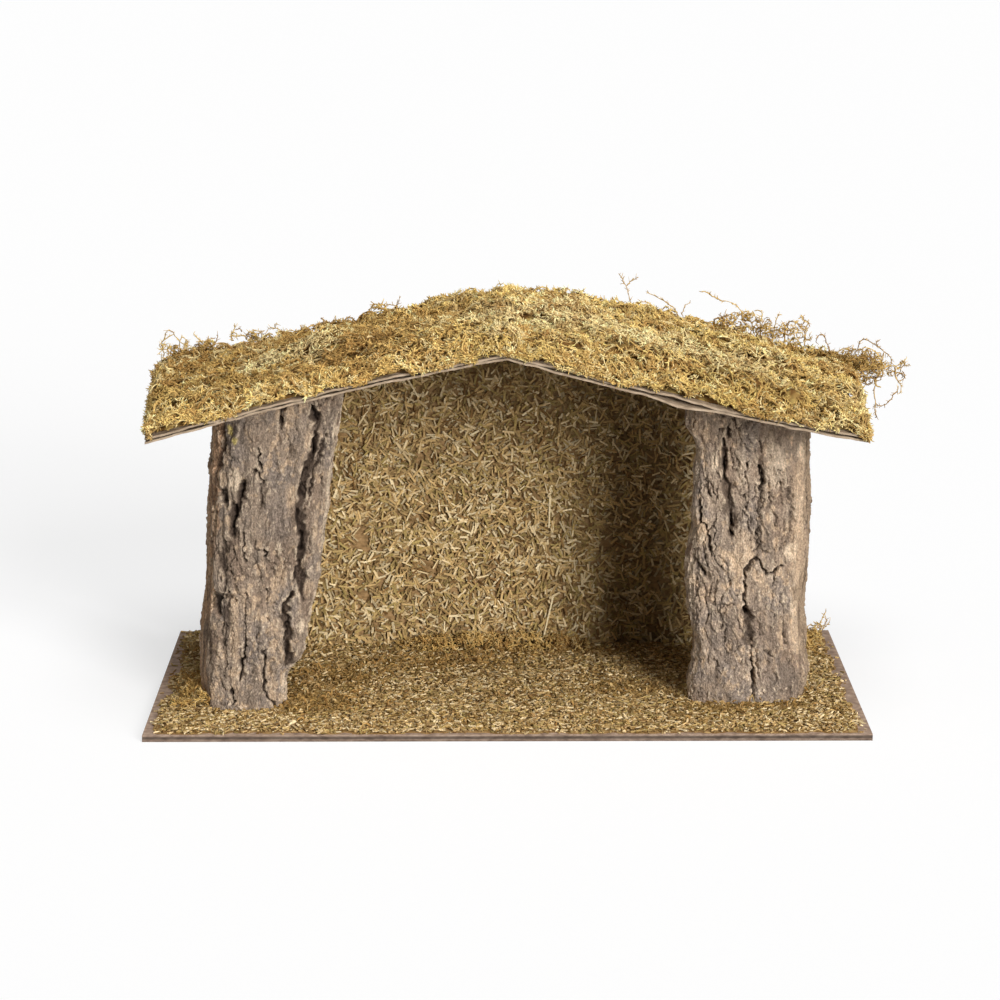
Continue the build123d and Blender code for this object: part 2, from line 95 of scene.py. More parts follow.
# Bark posts: plan as shares of the width from the outer edge and of the depth from the front,
# then levels as shares of the height, of the width at the outer and inner edges, and of the depth worn back
LEFT_PLAN_SHARES = (
    (0.00, 0.92), (0.03, 0.62), (0.07, 0.36), (0.13, 0.20), (0.22, 0.09), (0.36, 0.03), (0.50, 0.00),
    (0.64, 0.01), (0.76, 0.03), (0.88, 0.06), (0.95, 0.09), (1.00, 0.15), (1.00, 0.50), (0.90, 0.97),
    (0.45, 1.00),
)
RIGHT_PLAN_SHARES = (
    (0.00, 0.62), (0.03, 0.38), (0.08, 0.23), (0.14, 0.13), (0.26, 0.06), (0.40, 0.03), (0.56, 0.00),
    (0.70, 0.01), (0.82, 0.03), (0.91, 0.06), (0.965, 0.11), (1.00, 0.20), (0.99, 0.78), (0.50, 1.00),
    (0.04, 0.94),
)
PLAN_FRONT_COUNT = 12
LEFT_LEVEL_SHARES = (
    (0.00, 0.005, 0.585, 0.00), (0.05, 0.00, 0.595, 0.00), (0.115, 0.00, 0.605, 0.03),
    (0.16, 0.00, 0.695, 0.04), (0.20, 0.007, 0.725, 0.03), (0.26, 0.017, 0.74, 0.01),
    (0.33, 0.033, 0.77, 0.01), (0.38, 0.043, 0.80, 0.03), (0.44, 0.05, 0.825, 0.05),
    (0.51, 0.058, 0.85, 0.04), (0.57, 0.066, 0.865, 0.03), (0.62, 0.07, 0.895, 0.02),
    (0.77, 0.088, 0.915, 0.05), (0.88, 0.107, 0.95, 0.06), (1.00, 0.12, 1.00, 0.04),
)
RIGHT_LEVEL_SHARES = (
    (0.00, 0.04, 0.945, 0.00), (0.05, 0.02, 0.955, 0.00), (0.09, 0.00, 0.935, 0.02),
    (0.14, 0.02, 0.915, 0.03), (0.20, 0.03, 0.90, 0.00), (0.30, 0.045, 0.96, 0.02),
    (0.38, 0.045, 0.98, 0.04), (0.47, 0.04, 0.97, 0.02), (0.535, 0.03, 0.93, 0.03),
    (0.66, 0.025, 0.925, 0.05), (0.735, 0.035, 0.925, 0.03), (0.80, 0.04, 0.91, 0.03),
    (0.83, 0.04, 0.94, 0.05), (0.865, 0.042, 1.00, 0.05), (1.00, 0.05, 0.97, 0.05),
)

# Kinds of crack in the bark: half the width, share of it that is wall, depth, and the least share of the
# depth that is kept where a crack fades
CRACK_KINDS = {
    "ravine": {"width": 2.9, "wall_share": 1.0, "depth": 3.6, "least_share": 0.5},
    "valley": {"width": 2.6, "wall_share": 0.9, "depth": 1.5, "least_share": 0.4},
    "hollow": {"width": 2.2, "wall_share": 1.0, "depth": 3.0, "least_share": 0.7},
    "crack": {"width": 0.9, "wall_share": 0.8, "depth": 2.8, "least_share": 0.3},
    "check": {"width": 0.55, "wall_share": 0.9, "depth": 1.4, "least_share": 0.1},
}
SLIT_KINDS = ("hollow", "crack", "check")

# Cracks as picked on the view of each post, by their kind
LEFT_CRACKS = {
    "ravine": (
        ((600, 40), (628, 110), (622, 210), (590, 300), (565, 380), (550, 470), (540, 560), (548, 660),
         (550, 740), (535, 830), (540, 900), (562, 975)),
        ((500, 955), (472, 1010), (468, 1060), (490, 1110), (482, 1200), (490, 1290)),
        ((256, 408), (246, 480), (214, 530), (205, 600), (206, 650)),
    ),
    "valley": (
        ((655, 190), (645, 270), (605, 360), (590, 460)), ((500, 230), (482, 290), (490, 330)),
        ((350, 420), (345, 480), (335, 545)), ((148, 130), (150, 240), (140, 330)),
        ((165, 700), (160, 800), (170, 930)), ((258, 1260), (250, 1350)),
        ((185, 960), (175, 1080), (168, 1200), (172, 1350)),
    ),
    "hollow": (
        ((150, 450), (162, 505)), ((125, 970), (140, 1050)),
    ),
    "crack": (
        ((592, 30), (622, 95)), ((618, 150), (612, 265)), ((566, 340), (545, 400), (540, 470)),
        ((528, 520), (526, 610)), ((542, 650), (546, 740)), ((520, 820), (516, 895)),
        ((492, 962), (462, 1010), (460, 1060)), ((478, 1100), (466, 1190), (478, 1280)),
        ((650, 120), (672, 180)), ((490, 12), (445, 60), (446, 110), (440, 140), (462, 190)),
        ((500, 225), (484, 290)), ((332, 235), (338, 300), (352, 335)),
        ((320, 345), (300, 390), (298, 432)), ((332, 362), (356, 410)), ((254, 412), (246, 480)),
        ((206, 535), (203, 625)), ((262, 655), (258, 740), (272, 800)), ((366, 752), (370, 770)),
        ((150, 130), (152, 220), (142, 320)), ((366, 1235), (356, 1330), (376, 1430), (432, 1525)),
        ((262, 1180), (254, 1290), (240, 1385)), ((205, 1420), (210, 1500)),
    ),
    "check": (
        ((655, 190), (645, 270), (605, 360), (592, 470), (565, 540)), ((668, 380), (655, 470)),
        ((600, 640), (585, 720), (600, 780)), ((348, 420), (344, 480), (336, 545)),
        ((320, 692), (320, 740), (368, 746)), ((330, 800), (300, 830)), ((118, 400), (116, 700)),
        ((95, 600), (92, 900)), ((98, 1100), (95, 1350)), ((380, 1065), (396, 1100)),
        ((280, 960), (265, 1080), (270, 1180)), ((330, 1100), (335, 1230)),
    ),
}
RIGHT_CRACKS = {
    "ravine": (
        ((268, 250), (270, 350), (282, 430), (288, 520), (294, 610), (302, 660)),
        ((381, 1040), (388, 1110), (392, 1180)),
    ),
    "valley": (
        ((440, 120), (446, 250), (452, 400), (440, 520), (440, 640), (432, 740)),
        ((95, 780), (150, 830), (185, 860)), ((590, 450), (600, 640)), ((222, 1280), (234, 1400)),
    ),
    "crack": (
        ((292, 145), (286, 180)), ((262, 190), (270, 225)), ((270, 285), (272, 340)),
        ((292, 570), (296, 630), (306, 665)), ((440, 200), (446, 260)),
        ((444, 335), (456, 400), (440, 450)),
        ((436, 765), (385, 828), (372, 860), (371, 950), (381, 1045)),
        ((438, 770), (452, 820), (472, 846), (520, 850), (552, 820)), ((514, 850), (508, 912)),
        ((140, 490), (146, 560), (176, 640), (206, 772)), ((135, 800), (168, 852)),
        ((400, 1190), (404, 1300), (410, 1450)),
    ),
    "check": (
        ((325, 125), (350, 200), (380, 250)), ((378, 165), (384, 215)),
        ((382, 290), (376, 370), (388, 420), (380, 500), (374, 545)), ((436, 520), (440, 640), (430, 740)),
        ((480, 380), (492, 500), (504, 570), (526, 635)), ((422, 1200), (434, 1300), (440, 1420)),
        ((346, 1205), (312, 1240)), ((398, 1190), (455, 1215), (512, 1262)),
        ((245, 770), (290, 850), (325, 885)), ((352, 640), (360, 690)), ((388, 630), (380, 665)),
        ((602, 370), (592, 400), (612, 432)), ((558, 960), (566, 1100), (578, 1210)),
        ((600, 1270), (625, 1400), (640, 1455)), ((120, 930), (150, 1010)), ((290, 880), (296, 960)),
        ((160, 900), (180, 1000), (175, 1100)),
    ),
}

# Patches of the bark that differ in colour: colour, middle and half size on the view, strength
LEFT_PATCHES = (
    ("grey", (430, 560), (70, 150), 0.7), ("grey", (230, 270), (70, 50), 0.5),
    ("pale", (212, 400), (30, 62), 0.85), ("tan", (160, 390), (18, 45), 0.7),
    ("tan", (495, 480), (26, 60), 0.7), ("pale", (545, 1110), (24, 34), 0.9),
    ("pale", (432, 735), (22, 34), 0.7), ("tan", (455, 860), (26, 60), 0.75),
    ("tan", (420, 915), (36, 30), 0.6), ("tan", (620, 640), (24, 60), 0.6),
    ("pale", (690, 460), (14, 95), 0.85), ("tan", (215, 1150), (24, 220), 0.65),
    ("tan", (412, 1450), (26, 60), 0.7), ("tan", (260, 970), (18, 60), 0.6),
    ("tan", (340, 715), (18, 24), 0.7), ("pale", (288, 735), (14, 30), 0.6),
    ("tan", (490, 60), (22, 50), 0.7), ("tan", (585, 200), (24, 60), 0.6),
    ("brown", (140, 220), (16, 110), 0.8), ("brown", (560, 780), (26, 60), 0.5),
    ("tan", (580, 920), (26, 40), 0.6), ("tan", (420, 1120), (40, 50), 0.45),
    ("dark", (240, 150), (60, 60), 0.5), ("dark", (345, 770), (45, 35), 0.6),
    ("dark", (690, 140), (35, 120), 0.5), ("dark", (300, 1420), (55, 90), 0.5),
    ("dark", (135, 1010), (24, 70), 0.9), ("lichen", (196, 155), (16, 30), 1.0),
    ("lichen", (218, 200), (18, 26), 0.9),
)
RIGHT_PATCHES = (
    ("pale", (220, 310), (16, 46), 0.8), ("pale", (640, 250), (20, 52), 0.8),
    ("pale", (600, 750), (34, 46), 0.8), ("pale", (610, 1010), (16, 62), 0.7),
    ("tan", (150, 640), (40, 95), 0.9), ("pale", (155, 690), (18, 36), 0.8),
    ("tan", (350, 780), (70, 40), 0.6), ("pale", (500, 560), (12, 46), 0.7),
    ("tan", (90, 880), (22, 40), 0.7), ("tan", (112, 1270), (18, 60), 0.7),
    ("tan", (125, 280), (16, 40), 0.6), ("tan", (210, 1410), (60, 24), 0.5),
    ("brown", (450, 260), (20, 170), 0.6), ("brown", (280, 420), (14, 180), 0.5),
    ("tan", (635, 700), (36, 640), 0.6), ("tan", (445, 880), (25, 40), 0.6),
    ("grey", (240, 1150), (70, 130), 0.5), ("grey", (460, 1340), (90, 110), 0.5),
    ("tan", (100, 150), (34, 60), 0.5), ("pale", (350, 330), (26, 90), 0.35),
    ("tan", (375, 700), (60, 60), 0.4), ("pale", (520, 330), (55, 140), 0.45),
    ("dark", (560, 1380), (100, 110), 0.8), ("dark", (200, 1400), (90, 90), 0.6),
    ("dark", (150, 810), (40, 50), 0.6), ("dark", (270, 1120), (110, 130), 0.5),
    ("dark", (470, 1130), (110, 180), 0.45), ("dark", (470, 700), (50, 110), 0.5),
)
RIGHT_SEED_STEP = 400
# Each post's light share scales all its bark colours as painted light, the right post lighter and the left
# darker
POSTS = {
    "left_bark_post": {
        "side": -1, "plan": LEFT_PLAN_SHARES, "levels": LEFT_LEVEL_SHARES, "view": LEFT_POST_VIEW,
        "cracks": LEFT_CRACKS, "patches": LEFT_PATCHES, "seed": BARK_SEED,
        "flank": "red", "painted_light_share": 0.9, "ravine_shade_share": 0.94, "flank_light_and_shade_share": 1.42,
    },
    "right_bark_post": {
        "side": 1, "plan": RIGHT_PLAN_SHARES, "levels": RIGHT_LEVEL_SHARES, "view": RIGHT_POST_VIEW,
        "cracks": RIGHT_CRACKS, "patches": RIGHT_PATCHES, "seed": BARK_SEED + RIGHT_SEED_STEP,
        "flank": "tan", "painted_light_share": 1.11, "ravine_shade_share": 0.7, "flank_light_and_shade_share": 0.56,
    },
}
POST_ROW_COUNT = 330
POST_COLUMN_COUNT = 290
PLAN_SAMPLE_COUNT = 2000
PLAN_ROUNDING_COUNT = 25
FRONT_DENSITY = 7.0
FRONT_LIMIT_SHARE = 0.6
SIGHT_ROUND_COUNT = 2

# Layers of the bark's relief, in millimetres: soft swells, fibres and crumbs, then furrows, then plates
# A grain is a noise: its length or lengths, its octaves and its step from the seed
SWELL_LAYERS = (
    {"grain": ((15.0, 15.0, 38.0), 2, 120), "height": 0.5},
    {"grain": ((3.2, 3.2, 34.0), 3, 125), "height": 0.34},
    {"grain": ((0.9, 0.9, 9.0), 2, 130), "height": 0.14},
    {"grain": ((1.0, 1.0, 1.4), 2, 135), "height": 0.12},
)
FURROW_LAYERS = (
    {"grain": ((8.0, 8.0, 34.0), 5, 80), "here": ((16.0, 16.0, 68.0), 1, 110),
     "start_share": 0.93, "depth": 1.6},
    {"grain": ((3.2, 3.2, 14.0), 4, 85), "here": ((6.4, 6.4, 28.0), 1, 111),
     "start_share": 0.92, "depth": 0.85},
    {"grain": ((7.0, 7.0, 5.0), 4, 90), "here": ((14.0, 14.0, 10.0), 1, 112),
     "start_share": 0.96, "depth": 0.5},
)
FURROW_LIMITS = (-0.4, 0.5)
PLATE_LAYERS = (
    {"grain": ((10.0, 10.0, 34.0), 4, 130), "levels": 2.0, "height": 0.75, "edge_share": 0.05},
    {"grain": ((4.0, 4.0, 12.0), 4, 135), "levels": 2.0, "height": 0.36, "edge_share": 0.08},
    {"grain": ((1.6, 1.6, 4.5), 2, 140), "levels": 2.0, "height": 0.12, "edge_share": 0.2},
)
FLANK_FIBRES = {"grain": ((1.7, 1.7, 40.0), 3, 150), "height": 0.6}
FLANK_LIMITS = (0.5, 0.8)
FLANK_CALM_SHARE = 0.35
BARK_OUT_LIMIT = 2.4
BARK_TOP_GAP = 0.05
CAVITY_REACH = 4

# How far noise pushes the bark's plates and its cracks aside: the amount and the grain of each push
BARK_PUSHES = ((2.4, (14.0, 3, 10)), (0.7, (2.6, 2, 50)))
CRACK_PUSHES = ((0.8, (7.0, 3, 200)), (1.0, (2.2, 3, 240)))
AXIS_SEED_STEP = 10
CRACK_SWELL = ((4.0, 4.0, 6.0), 1, 31)
CRACK_FADE = ((9.0, 9.0, 12.0), 1, 33)
CRACK_FADE_LIMITS = (-0.8, -0.1)
CRACK_FRONT_LIMITS = (0.0, 0.5)
CRACK_WIDTH_SHARES = (1.0, 0.7, 0.35)

# Grains of the bark's colours
BARK_GRAINS = {
    "patch": ((12.0, 12.0, 20.0), 3, 160), "ragged": ((3.2, 3.2, 5.5), 3, 165),
    "fleck": ((2.2, 2.2, 3.2), 3, 170), "chip": ((1.3, 1.3, 1.8), 2, 172),
    "cloud": ((9.0, 9.0, 13.0), 2, 175), "fibre": ((1.5, 1.5, 30.0), 3, 180),
    "streak": ((0.8, 0.8, 11.0), 2, 185), "speck": ((0.9, 0.9, 1.2), 2, 190),
    "broken": ((2.6, 2.6, 4.0), 1, 195),
}

# Where each colour lies on the bark: the values at which it starts and is full, and its strength; ravine,
# hollow and furrow lay painted shade into splits, cavities and cracks, and worn is partly a painted
# highlight
BARK_COVERS = {
    "grey": (-0.1, 0.6, 1.0), "brown": (0.1, 0.7, 0.6), "tan": (0.4, 0.85, 0.85), "chip": (0.6, 0.9, 0.55),
    "flank": (0.74, 0.92, 1.0), "flank_brown": (0.0, 0.5, 0.75), "flank_tan": (0.1, 0.5, 0.8),
    "flank_furrow": (0.5, 0.9, 0.7), "broken": (-0.4, 0.3, 1.0), "worn": (0.15, 0.8, 0.55),
    "inner_edge": (0.7, 0.95, 0.7), "ravine": (0.35, 1.7, 1.0), "hollow": (0.25, 1.4, 0.7),
    "furrow": (0.6, 2.4, 0.9), "front": (0.0, 0.4, 1.0), "patch": (0.5, 1.25, 1.0),
}
RAGGED_SHARE = 0.45
CLOUD_SHARE = 0.5
LEVEL_SHARE = 0.08
CHIP_PATCH_SHARE = 0.3
FLANK_PATCH_SHARE = 0.2
STREAK_SHARE = 0.2
SPECK_SHARE = 0.18

# Bow of the roof's front edge, and how its crushed lips stand open
BOW_HEIGHT = 2.4
BOW_DEPTH = 28.0
LIP_OPEN = 0.75
LIP_OPEN_SWING = 0.8
LIP_OPEN_LEAST = 0.12
LIP_OPEN_GRAIN = (26.0, 3, 15)
LIP_RUN = 6.0

# Shading of the base's sawn edge by height, a darker band below the middle and a painted highlight along
# the top arris that also lightens the top face: share of the height, then share of the colour
BASE_EDGE_SHADING = ((0.0, 0.55), (0.36, 0.62), (0.44, 0.27), (0.72, 0.3), (0.82, 0.65), (0.92, 0.8), (1.0, 1.15))

TINY = 1e-6
EVEN = (1.0, 1.0, 1.0)
WHITE = (1.0, 1.0, 1.0, 1.0)
UP = np.array((0.0, 0.0, 1.0))
DOWN = Vector((0.0, 0.0, -1.0))

# Strands are three-sided; a helper direction, which no strand follows, sets their corners
STRAND_SIDES = 3
STRAND_HELPER = np.array((0.31, 0.22, 0.92))
STRAND_TINY = 1e-9

# Where a slab's lower face lies on the colour sheet, beside its upper one
LOWER_FACE_SHIFT = (0.5, 0.0)

# Corners of a chip and its faces, seen from outside
CHIP_CORNERS = 2 * CUBE_CORNERS - 1
CHIP_FACES = np.array(((0, 1, 3, 2), (4, 6, 7, 5), (0, 4, 5, 1), (2, 3, 7, 6), (0, 2, 6, 4), (1, 5, 7, 3)))

# Finishes: roughness, shine, scale of the grain and its stretch, shades of the grain, relief in metres
FINISHES = {
    "bark": {"roughness": 0.95, "shine": 0.1, "grain": 1500.0, "stretch": (1.0, 1.0, 0.6),
             "shades": (0.6, 1.38), "relief": 0.0011},
    "dried moss": {"roughness": 0.9, "shine": 0.08, "grain": 700.0, "stretch": EVEN,
                   "shades": (0.8, 1.18), "relief": 0.0003},
    "straw": {"roughness": 0.75, "shine": 0.1, "grain": 1500.0, "stretch": EVEN,
              "shades": (0.8, 1.15), "relief": 0.0002},
    "chaff": {"roughness": 0.8, "shine": 0.1, "grain": 1500.0, "stretch": EVEN,
              "shades": (0.75, 1.2), "relief": 0.0002},
    "hardboard": {"roughness": 0.75, "shine": 0.2, "grain": 260.0, "stretch": (1.0, 1.0, 2.5),
                  "relief": 0.0002},
    "panel board": {"roughness": 0.75, "shine": 0.2, "grain": 650.0, "stretch": (0.6, 1.0, 1.0),
                    "relief": 0.0002},
    "kraft liner": {"roughness": 0.85, "shine": 0.2, "grain": 420.0, "stretch": (0.5, 1.0, 1.0),
                    "relief": 0.0001},
    "fluting": {"roughness": 0.9, "shine": 0.2, "grain": 300.0, "stretch": (0.5, 1.0, 1.0),
                "relief": 0.0001},
    "bright steel": {"roughness": 0.35, "shine": 0.5, "grain": 600.0, "stretch": EVEN},
    "hot melt": {"roughness": 0.4, "shine": 0.5, "grain": 200.0, "stretch": EVEN},
    "studio floor": {"roughness": 1.0, "shine": 0.0},
}
TINT_DETAIL = 4.0
SHEET_DETAIL = 8.0
FIXING_DETAIL = 3.0
TWO_SHADE_PLACES = (0.3, 0.7)
THREE_SHADE_PLACES = (0.32, 0.52, 0.72)
NEW_STOP_PLACE = 0.5


# Settings that a user may change


def colour_setting(name, description, default):
    """A colour."""
    return FloatVectorProperty(name=name, description=description, subtype="COLOR", default=default)


def length_setting(name, description, default):
    """A length in metres."""
    return FloatProperty(name=name, description=description, unit="LENGTH", default=default)


def number_setting(name, description, default):
    """A strength, a share or a density."""
    return FloatProperty(name=name, description=description, default=default)


def count_setting(name, description, default):
    """A whole number of things."""
    return IntProperty(name=name, description=description, default=default)


def turn_setting(name, description, degrees):
    """Turns about the three axes, given in degrees."""
    return FloatVectorProperty(name=name, description=description, subtype="EULER", unit="ROTATION",
                               default=[math.radians(angle) for angle in degrees])


def spread_setting(name, description, degrees):
    """An angle, given in degrees."""
    return FloatProperty(name=name, description=description, unit="ROTATION", default=math.radians(degrees))


# Noise and shading


def lattice_value(cell, seed):
    """A repeatable value from 0 to 1 for each whole-number cell."""
    keys = cell * HASH_PRIMES
    mixed = keys[..., 0] ^ keys[..., 1] ^ keys[..., 2] ^ (seed * HASH_SEED_PRIME)
    mixed = (mixed ^ (mixed >> HASH_SHIFTS[0])) * HASH_MIX
    return ((mixed ^ (mixed >> HASH_SHIFTS[1])) & HASH_TOP) / HASH_TOP


def noise(points, scale, seed):
    """Smooth noise from -1 to 1; the scale is one length, or one length for each axis."""
    place = points / np.broadcast_to(scale, 3)
    cell = np.floor(place).astype(np.int64)
    part = place - cell
    part = part * part * (3 - 2 * part)
    total = np.zeros(points.shape[:-1])
    for corner in CUBE_CORNERS:
        weight = np.prod(np.where(corner, part, 1 - part), axis=-1)
        total += weight * lattice_value(cell + corner, seed)
    return 2 * total - 1


def rough(points, scale, seed, octaves):
    """Noise with finer and finer noise added to it."""
    lengths = np.broadcast_to(scale, 3).astype(float)
    total = np.zeros(points.shape[:-1])
    for octave in range(octaves):
        total += noise(points, lengths / 2 ** octave, seed + octave) / 2 ** octave
    return total


def grained(points, grain, seed):
    """Rough noise of one grain."""
    lengths, octaves, step = grain
    return rough(points, lengths, seed + step, octaves)


def ramp(values, low, high):
    """A smooth step from 0 at the low value to 1 at the high one."""
    share = np.clip((values - low) / (high - low), 0, 1)
    return share * share * (3 - 2 * share)


def blend(first, second, share):
    """Colours on the way from the first to the second."""
    return first + (np.asarray(second) - first) * share[..., None]


def cover(values, limits):
    """How strongly a colour covers places, from its start, its full value and its strength."""
    start, full, strength = limits
    return strength * ramp(values, start, full)


def painted(colour, count):
    """The same colour for a number of points."""
    return np.tile(np.array(colour), (count, 1))


def unit(vectors):
    """The same directions, one long."""
    return vectors / (np.linalg.norm(vectors, axis=-1, keepdims=True) + TINY)


def on_plan(x, y):
    """Flat places as points, for noise that ignores height."""
    return np.stack([x, y, np.zeros_like(x)], axis=-1)


def spot_reach(x, y, middle, half):
    """How far places lie from the middle of a spot, as shares of its half size."""
    return np.hypot((x - middle[0]) / half[0], (y - middle[1]) / half[1])


# Places on the frame


def box_mm(node):
    """The low and high corners of a node's box in millimetres."""
    low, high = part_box(node)
    return np.array(low) / MM, np.array(high) / MM


def seen_at(view, spots, depth):
    """Where points picked on a view of the photo lie on an upright plane at a depth, in millimetres."""
    pixels = np.array(view["corner"]) + np.array(spots, dtype=float) / view["scale"]
    focal = CAMERA_LENS / CAMERA_SENSOR * PHOTO_SIDE
    middle = PHOTO_SIDE / 2
    aim = np.stack([pixels[:, 0] - middle, middle - pixels[:, 1], np.full(len(pixels), -focal)], axis=1)
    way = aim @ np.array(Euler(CAMERA_TURN).to_matrix()).T
    eye = np.array(CAMERA_PLACE) / MM
    return eye + way * ((depth - eye[1]) / way[:, 1])[:, None]


def roof_line():
    """Half the span, the fall along it, and the ridge's height under and on the board."""
    bottom_low, bottom_high = box_mm("roof_bottom_liner")
    ridge_under = box_mm("back_panel")[1][2]
    ridge_top = box_mm("roof_top_liner")[1][2]
    half_span = bottom_high[0]
    fall = (ridge_under - bottom_low[2]) / half_span
    return half_span, fall, ridge_under, ridge_top


def roof_bow(x, y):
    """How far the roof's front edge bows up on the left and sags on the right."""
    half_span = roof_line()[0]
    front = box_mm("roof_top_liner")[0][1]
    near = 1 - ramp(y - front, 0.0, BOW_DEPTH)
    return -BOW_HEIGHT * near * np.sin(math.pi * np.clip(x / half_span, -1, 1))


def lip_crush(x, y):
    """How far the roof board is crushed shut at its front edge."""
    half_span, fall, _, _ = roof_line()
    low, high = box_mm("roof_fluting")
    full = high[2] - low[2] - fall * half_span
    wander = grained(on_plan(x, np.zeros_like(x)), LIP_OPEN_GRAIN, BOARD_SEED)
    gap = np.clip(LIP_OPEN + LIP_OPEN_SWING * wander, LIP_OPEN_LEAST, full)
    return (full - gap) * np.exp(-np.maximum(y - low[1], 0) / LIP_RUN)


def roof_settle(x, y):
    """How far the roof board's upper face lies off its place in the frame."""
    return roof_bow(x, y) - lip_crush(x, y)


# Meshes


class Heap:
    """Closed shapes gathered into one piece, each point with a tint and a place on the colour sheet."""

    def __init__(self):
        self.points = []
        self.tints = []
        self.sheet = []
        self.faces = {}
        self.count = 0

    def add(self, points, faces, tints, sheet):
        """Put one more set of shapes into the piece."""
        for face in faces:
            self.faces.setdefault(face.shape[1], []).append(face + self.count)
        self.points.append(points)
        self.tints.append(tints)
        self.sheet.append(sheet)
        self.count += len(points)

    def piece(self, name, material, smooth):
        """Make the object of everything gathered so far."""
        points = np.concatenate(self.points) * MM
        tints = np.concatenate(self.tints)
        sheet = np.concatenate(self.sheet)
        groups = [np.concatenate(group) for group in self.faces.values()]
        corners = np.concatenate([group.ravel() for group in groups])
        sizes = np.concatenate([np.full(len(group), group.shape[1]) for group in groups])
        mesh = bpy.data.meshes.new(name)
        mesh.vertices.add(len(points))
        mesh.vertices.foreach_set("co", points.ravel())
        mesh.loops.add(len(corners))
        mesh.polygons.add(len(sizes))
        mesh.polygons.foreach_set("loop_start", np.cumsum(sizes) - sizes)
        mesh.polygons.foreach_set("vertices", corners)
        mesh.polygons.foreach_set("use_smooth", np.full(len(sizes), smooth))
        mesh.update(calc_edges=True)
        colours = np.concatenate([np.clip(tints, 0, 1), np.ones((len(tints), 1))], axis=1)
        layer = mesh.color_attributes.new(TINT_NAME, "FLOAT_COLOR", "POINT")
        layer.data.foreach_set("color", colours.ravel())
        unwrapped = mesh.uv_layers.new(name=SHEET_NAME)
        unwrapped.uv.foreach_set("vector", sheet[corners].ravel())
        mesh.materials.append(material)
        thing = bpy.data.objects.new(name, mesh)
        bpy.context.scene.collection.objects.link(thing)
        return thing


def sheet_cells(count, lanes, steps, low, high):
    """Places on the colour sheet for like shapes, one small cell for each, between two heights."""
    side = math.ceil(math.sqrt(count))
    number = np.arange(count)
    lane = (np.arange(lanes) + 0.5) / lanes
    step = (np.arange(steps) + 0.5) / steps
    across = ((number % side)[:, None, None] + lane[None, None, :]) / side
    along = ((number // side)[:, None, None] + step[None, :, None]) / side
    across = np.broadcast_to(across, (count, steps, lanes))
    along = np.broadcast_to(low + along * (high - low), (count, steps, lanes))
    return np.stack([across, along], axis=-1).reshape(-1, 2)


def strands(paths, radii):
    """Closed three-sided strands along paths, and their faces."""
    count, steps, _ = paths.shape
    ahead = np.gradient(paths, axis=1)
    ahead /= np.linalg.norm(ahead, axis=2, keepdims=True) + STRAND_TINY
    across = np.cross(ahead, STRAND_HELPER)
    across /= np.linalg.norm(across, axis=2, keepdims=True) + STRAND_TINY
    over = np.cross(ahead, across)
    turn = 2 * math.pi * np.arange(STRAND_SIDES) / STRAND_SIDES
    ring = np.cos(turn)[:, None] * across[:, :, None, :] + np.sin(turn)[:, None] * over[:, :, None, :]
    points = paths[:, :, None, :] + radii[:, :, None, None] * ring
    index = np.arange(count * steps * STRAND_SIDES).reshape(count, steps, STRAND_SIDES)
    near = index[:, :-1, :]
    far = index[:, 1:, :]
    quads = np.stack([near, np.roll(near, -1, axis=2), np.roll(far, -1, axis=2), far], axis=-1)
    ends = [index[:, 0, ::-1], index[:, -1, :]]
    return points.reshape(-1, 3), [quads.reshape(-1, 4)] + ends


def chips(middles, along, out, sizes, taper):
    """Closed flat chips: middles, directions along and out of the face, then sizes."""
    across = np.cross(out, along)
    half = sizes / 2
    ends = CHIP_CORNERS[:, 0]
    width = np.where(ends > 0, taper[:, None], 1.0) * CHIP_CORNERS[:, 1]
    points = middles[:, None, :] + (half[:, 0, None] * ends)[:, :, None] * along[:, None, :]
    points = points + (half[:, 1, None] * width)[:, :, None] * across[:, None, :]
    points = points + (half[:, 2, None] * CHIP_CORNERS[:, 2])[:, :, None] * out[:, None, :]
    faces = np.arange(len(middles))[:, None, None] * len(CHIP_CORNERS) + CHIP_FACES
    return points.reshape(-1, 3), [faces.reshape(-1, 4)]


def add_slab(heap, x, y, top, bottom, tints, band):
    """Put a closed sheet over a grid of places into a heap, between two faces of the same tints."""
    rows, columns = top.shape
    upper = np.stack([x, y, top], axis=-1).reshape(-1, 3)
    lower = np.stack([x, y, bottom], axis=-1).reshape(-1, 3)
    index = np.arange(rows * columns).reshape(rows, columns)
    corners = (index[:-1, :-1], index[:-1, 1:], index[1:, 1:], index[1:, :-1])
    over = np.stack([corner.ravel() for corner in corners], axis=1)
    rim = np.concatenate([index[0, :], index[1:, -1], index[-1, -2::-1], index[-2:0:-1, 0]])
    following = np.roll(rim, -1)
    beneath = rows * columns
    under = over[:, ::-1] + beneath
    sides = np.stack([rim + beneath, following + beneath, following, rim], axis=1)
    across, along = np.meshgrid(np.linspace(0, 1, columns), np.linspace(0, 1, rows))
    low, high = band
    place = np.stack([across / 2, low + along * (high - low)], axis=-1).reshape(-1, 2)
    sheet = np.concatenate([place, place + np.array(LOWER_FACE_SHIFT)])
    heap.add(np.concatenate([upper, lower]), [over, under, sides], np.concatenate([tints, tints]), sheet)


def settle(thing, nodes):
    """Fix a piece to the stable in place of the solids that it stands for."""
    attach(thing, "root")
    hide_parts(*nodes)


# Materials


def new_material(name):
    """A material with its finish and its shader."""
    finish = FINISHES[name]
    material = bpy.data.materials.new(name)
    material.use_nodes = True
    shader = material.node_tree.nodes["Principled BSDF"]
    shader.inputs["Roughness"].default_value = finish["roughness"]
    shader.inputs["Specular IOR Level"].default_value = finish["shine"]
    return material, shader


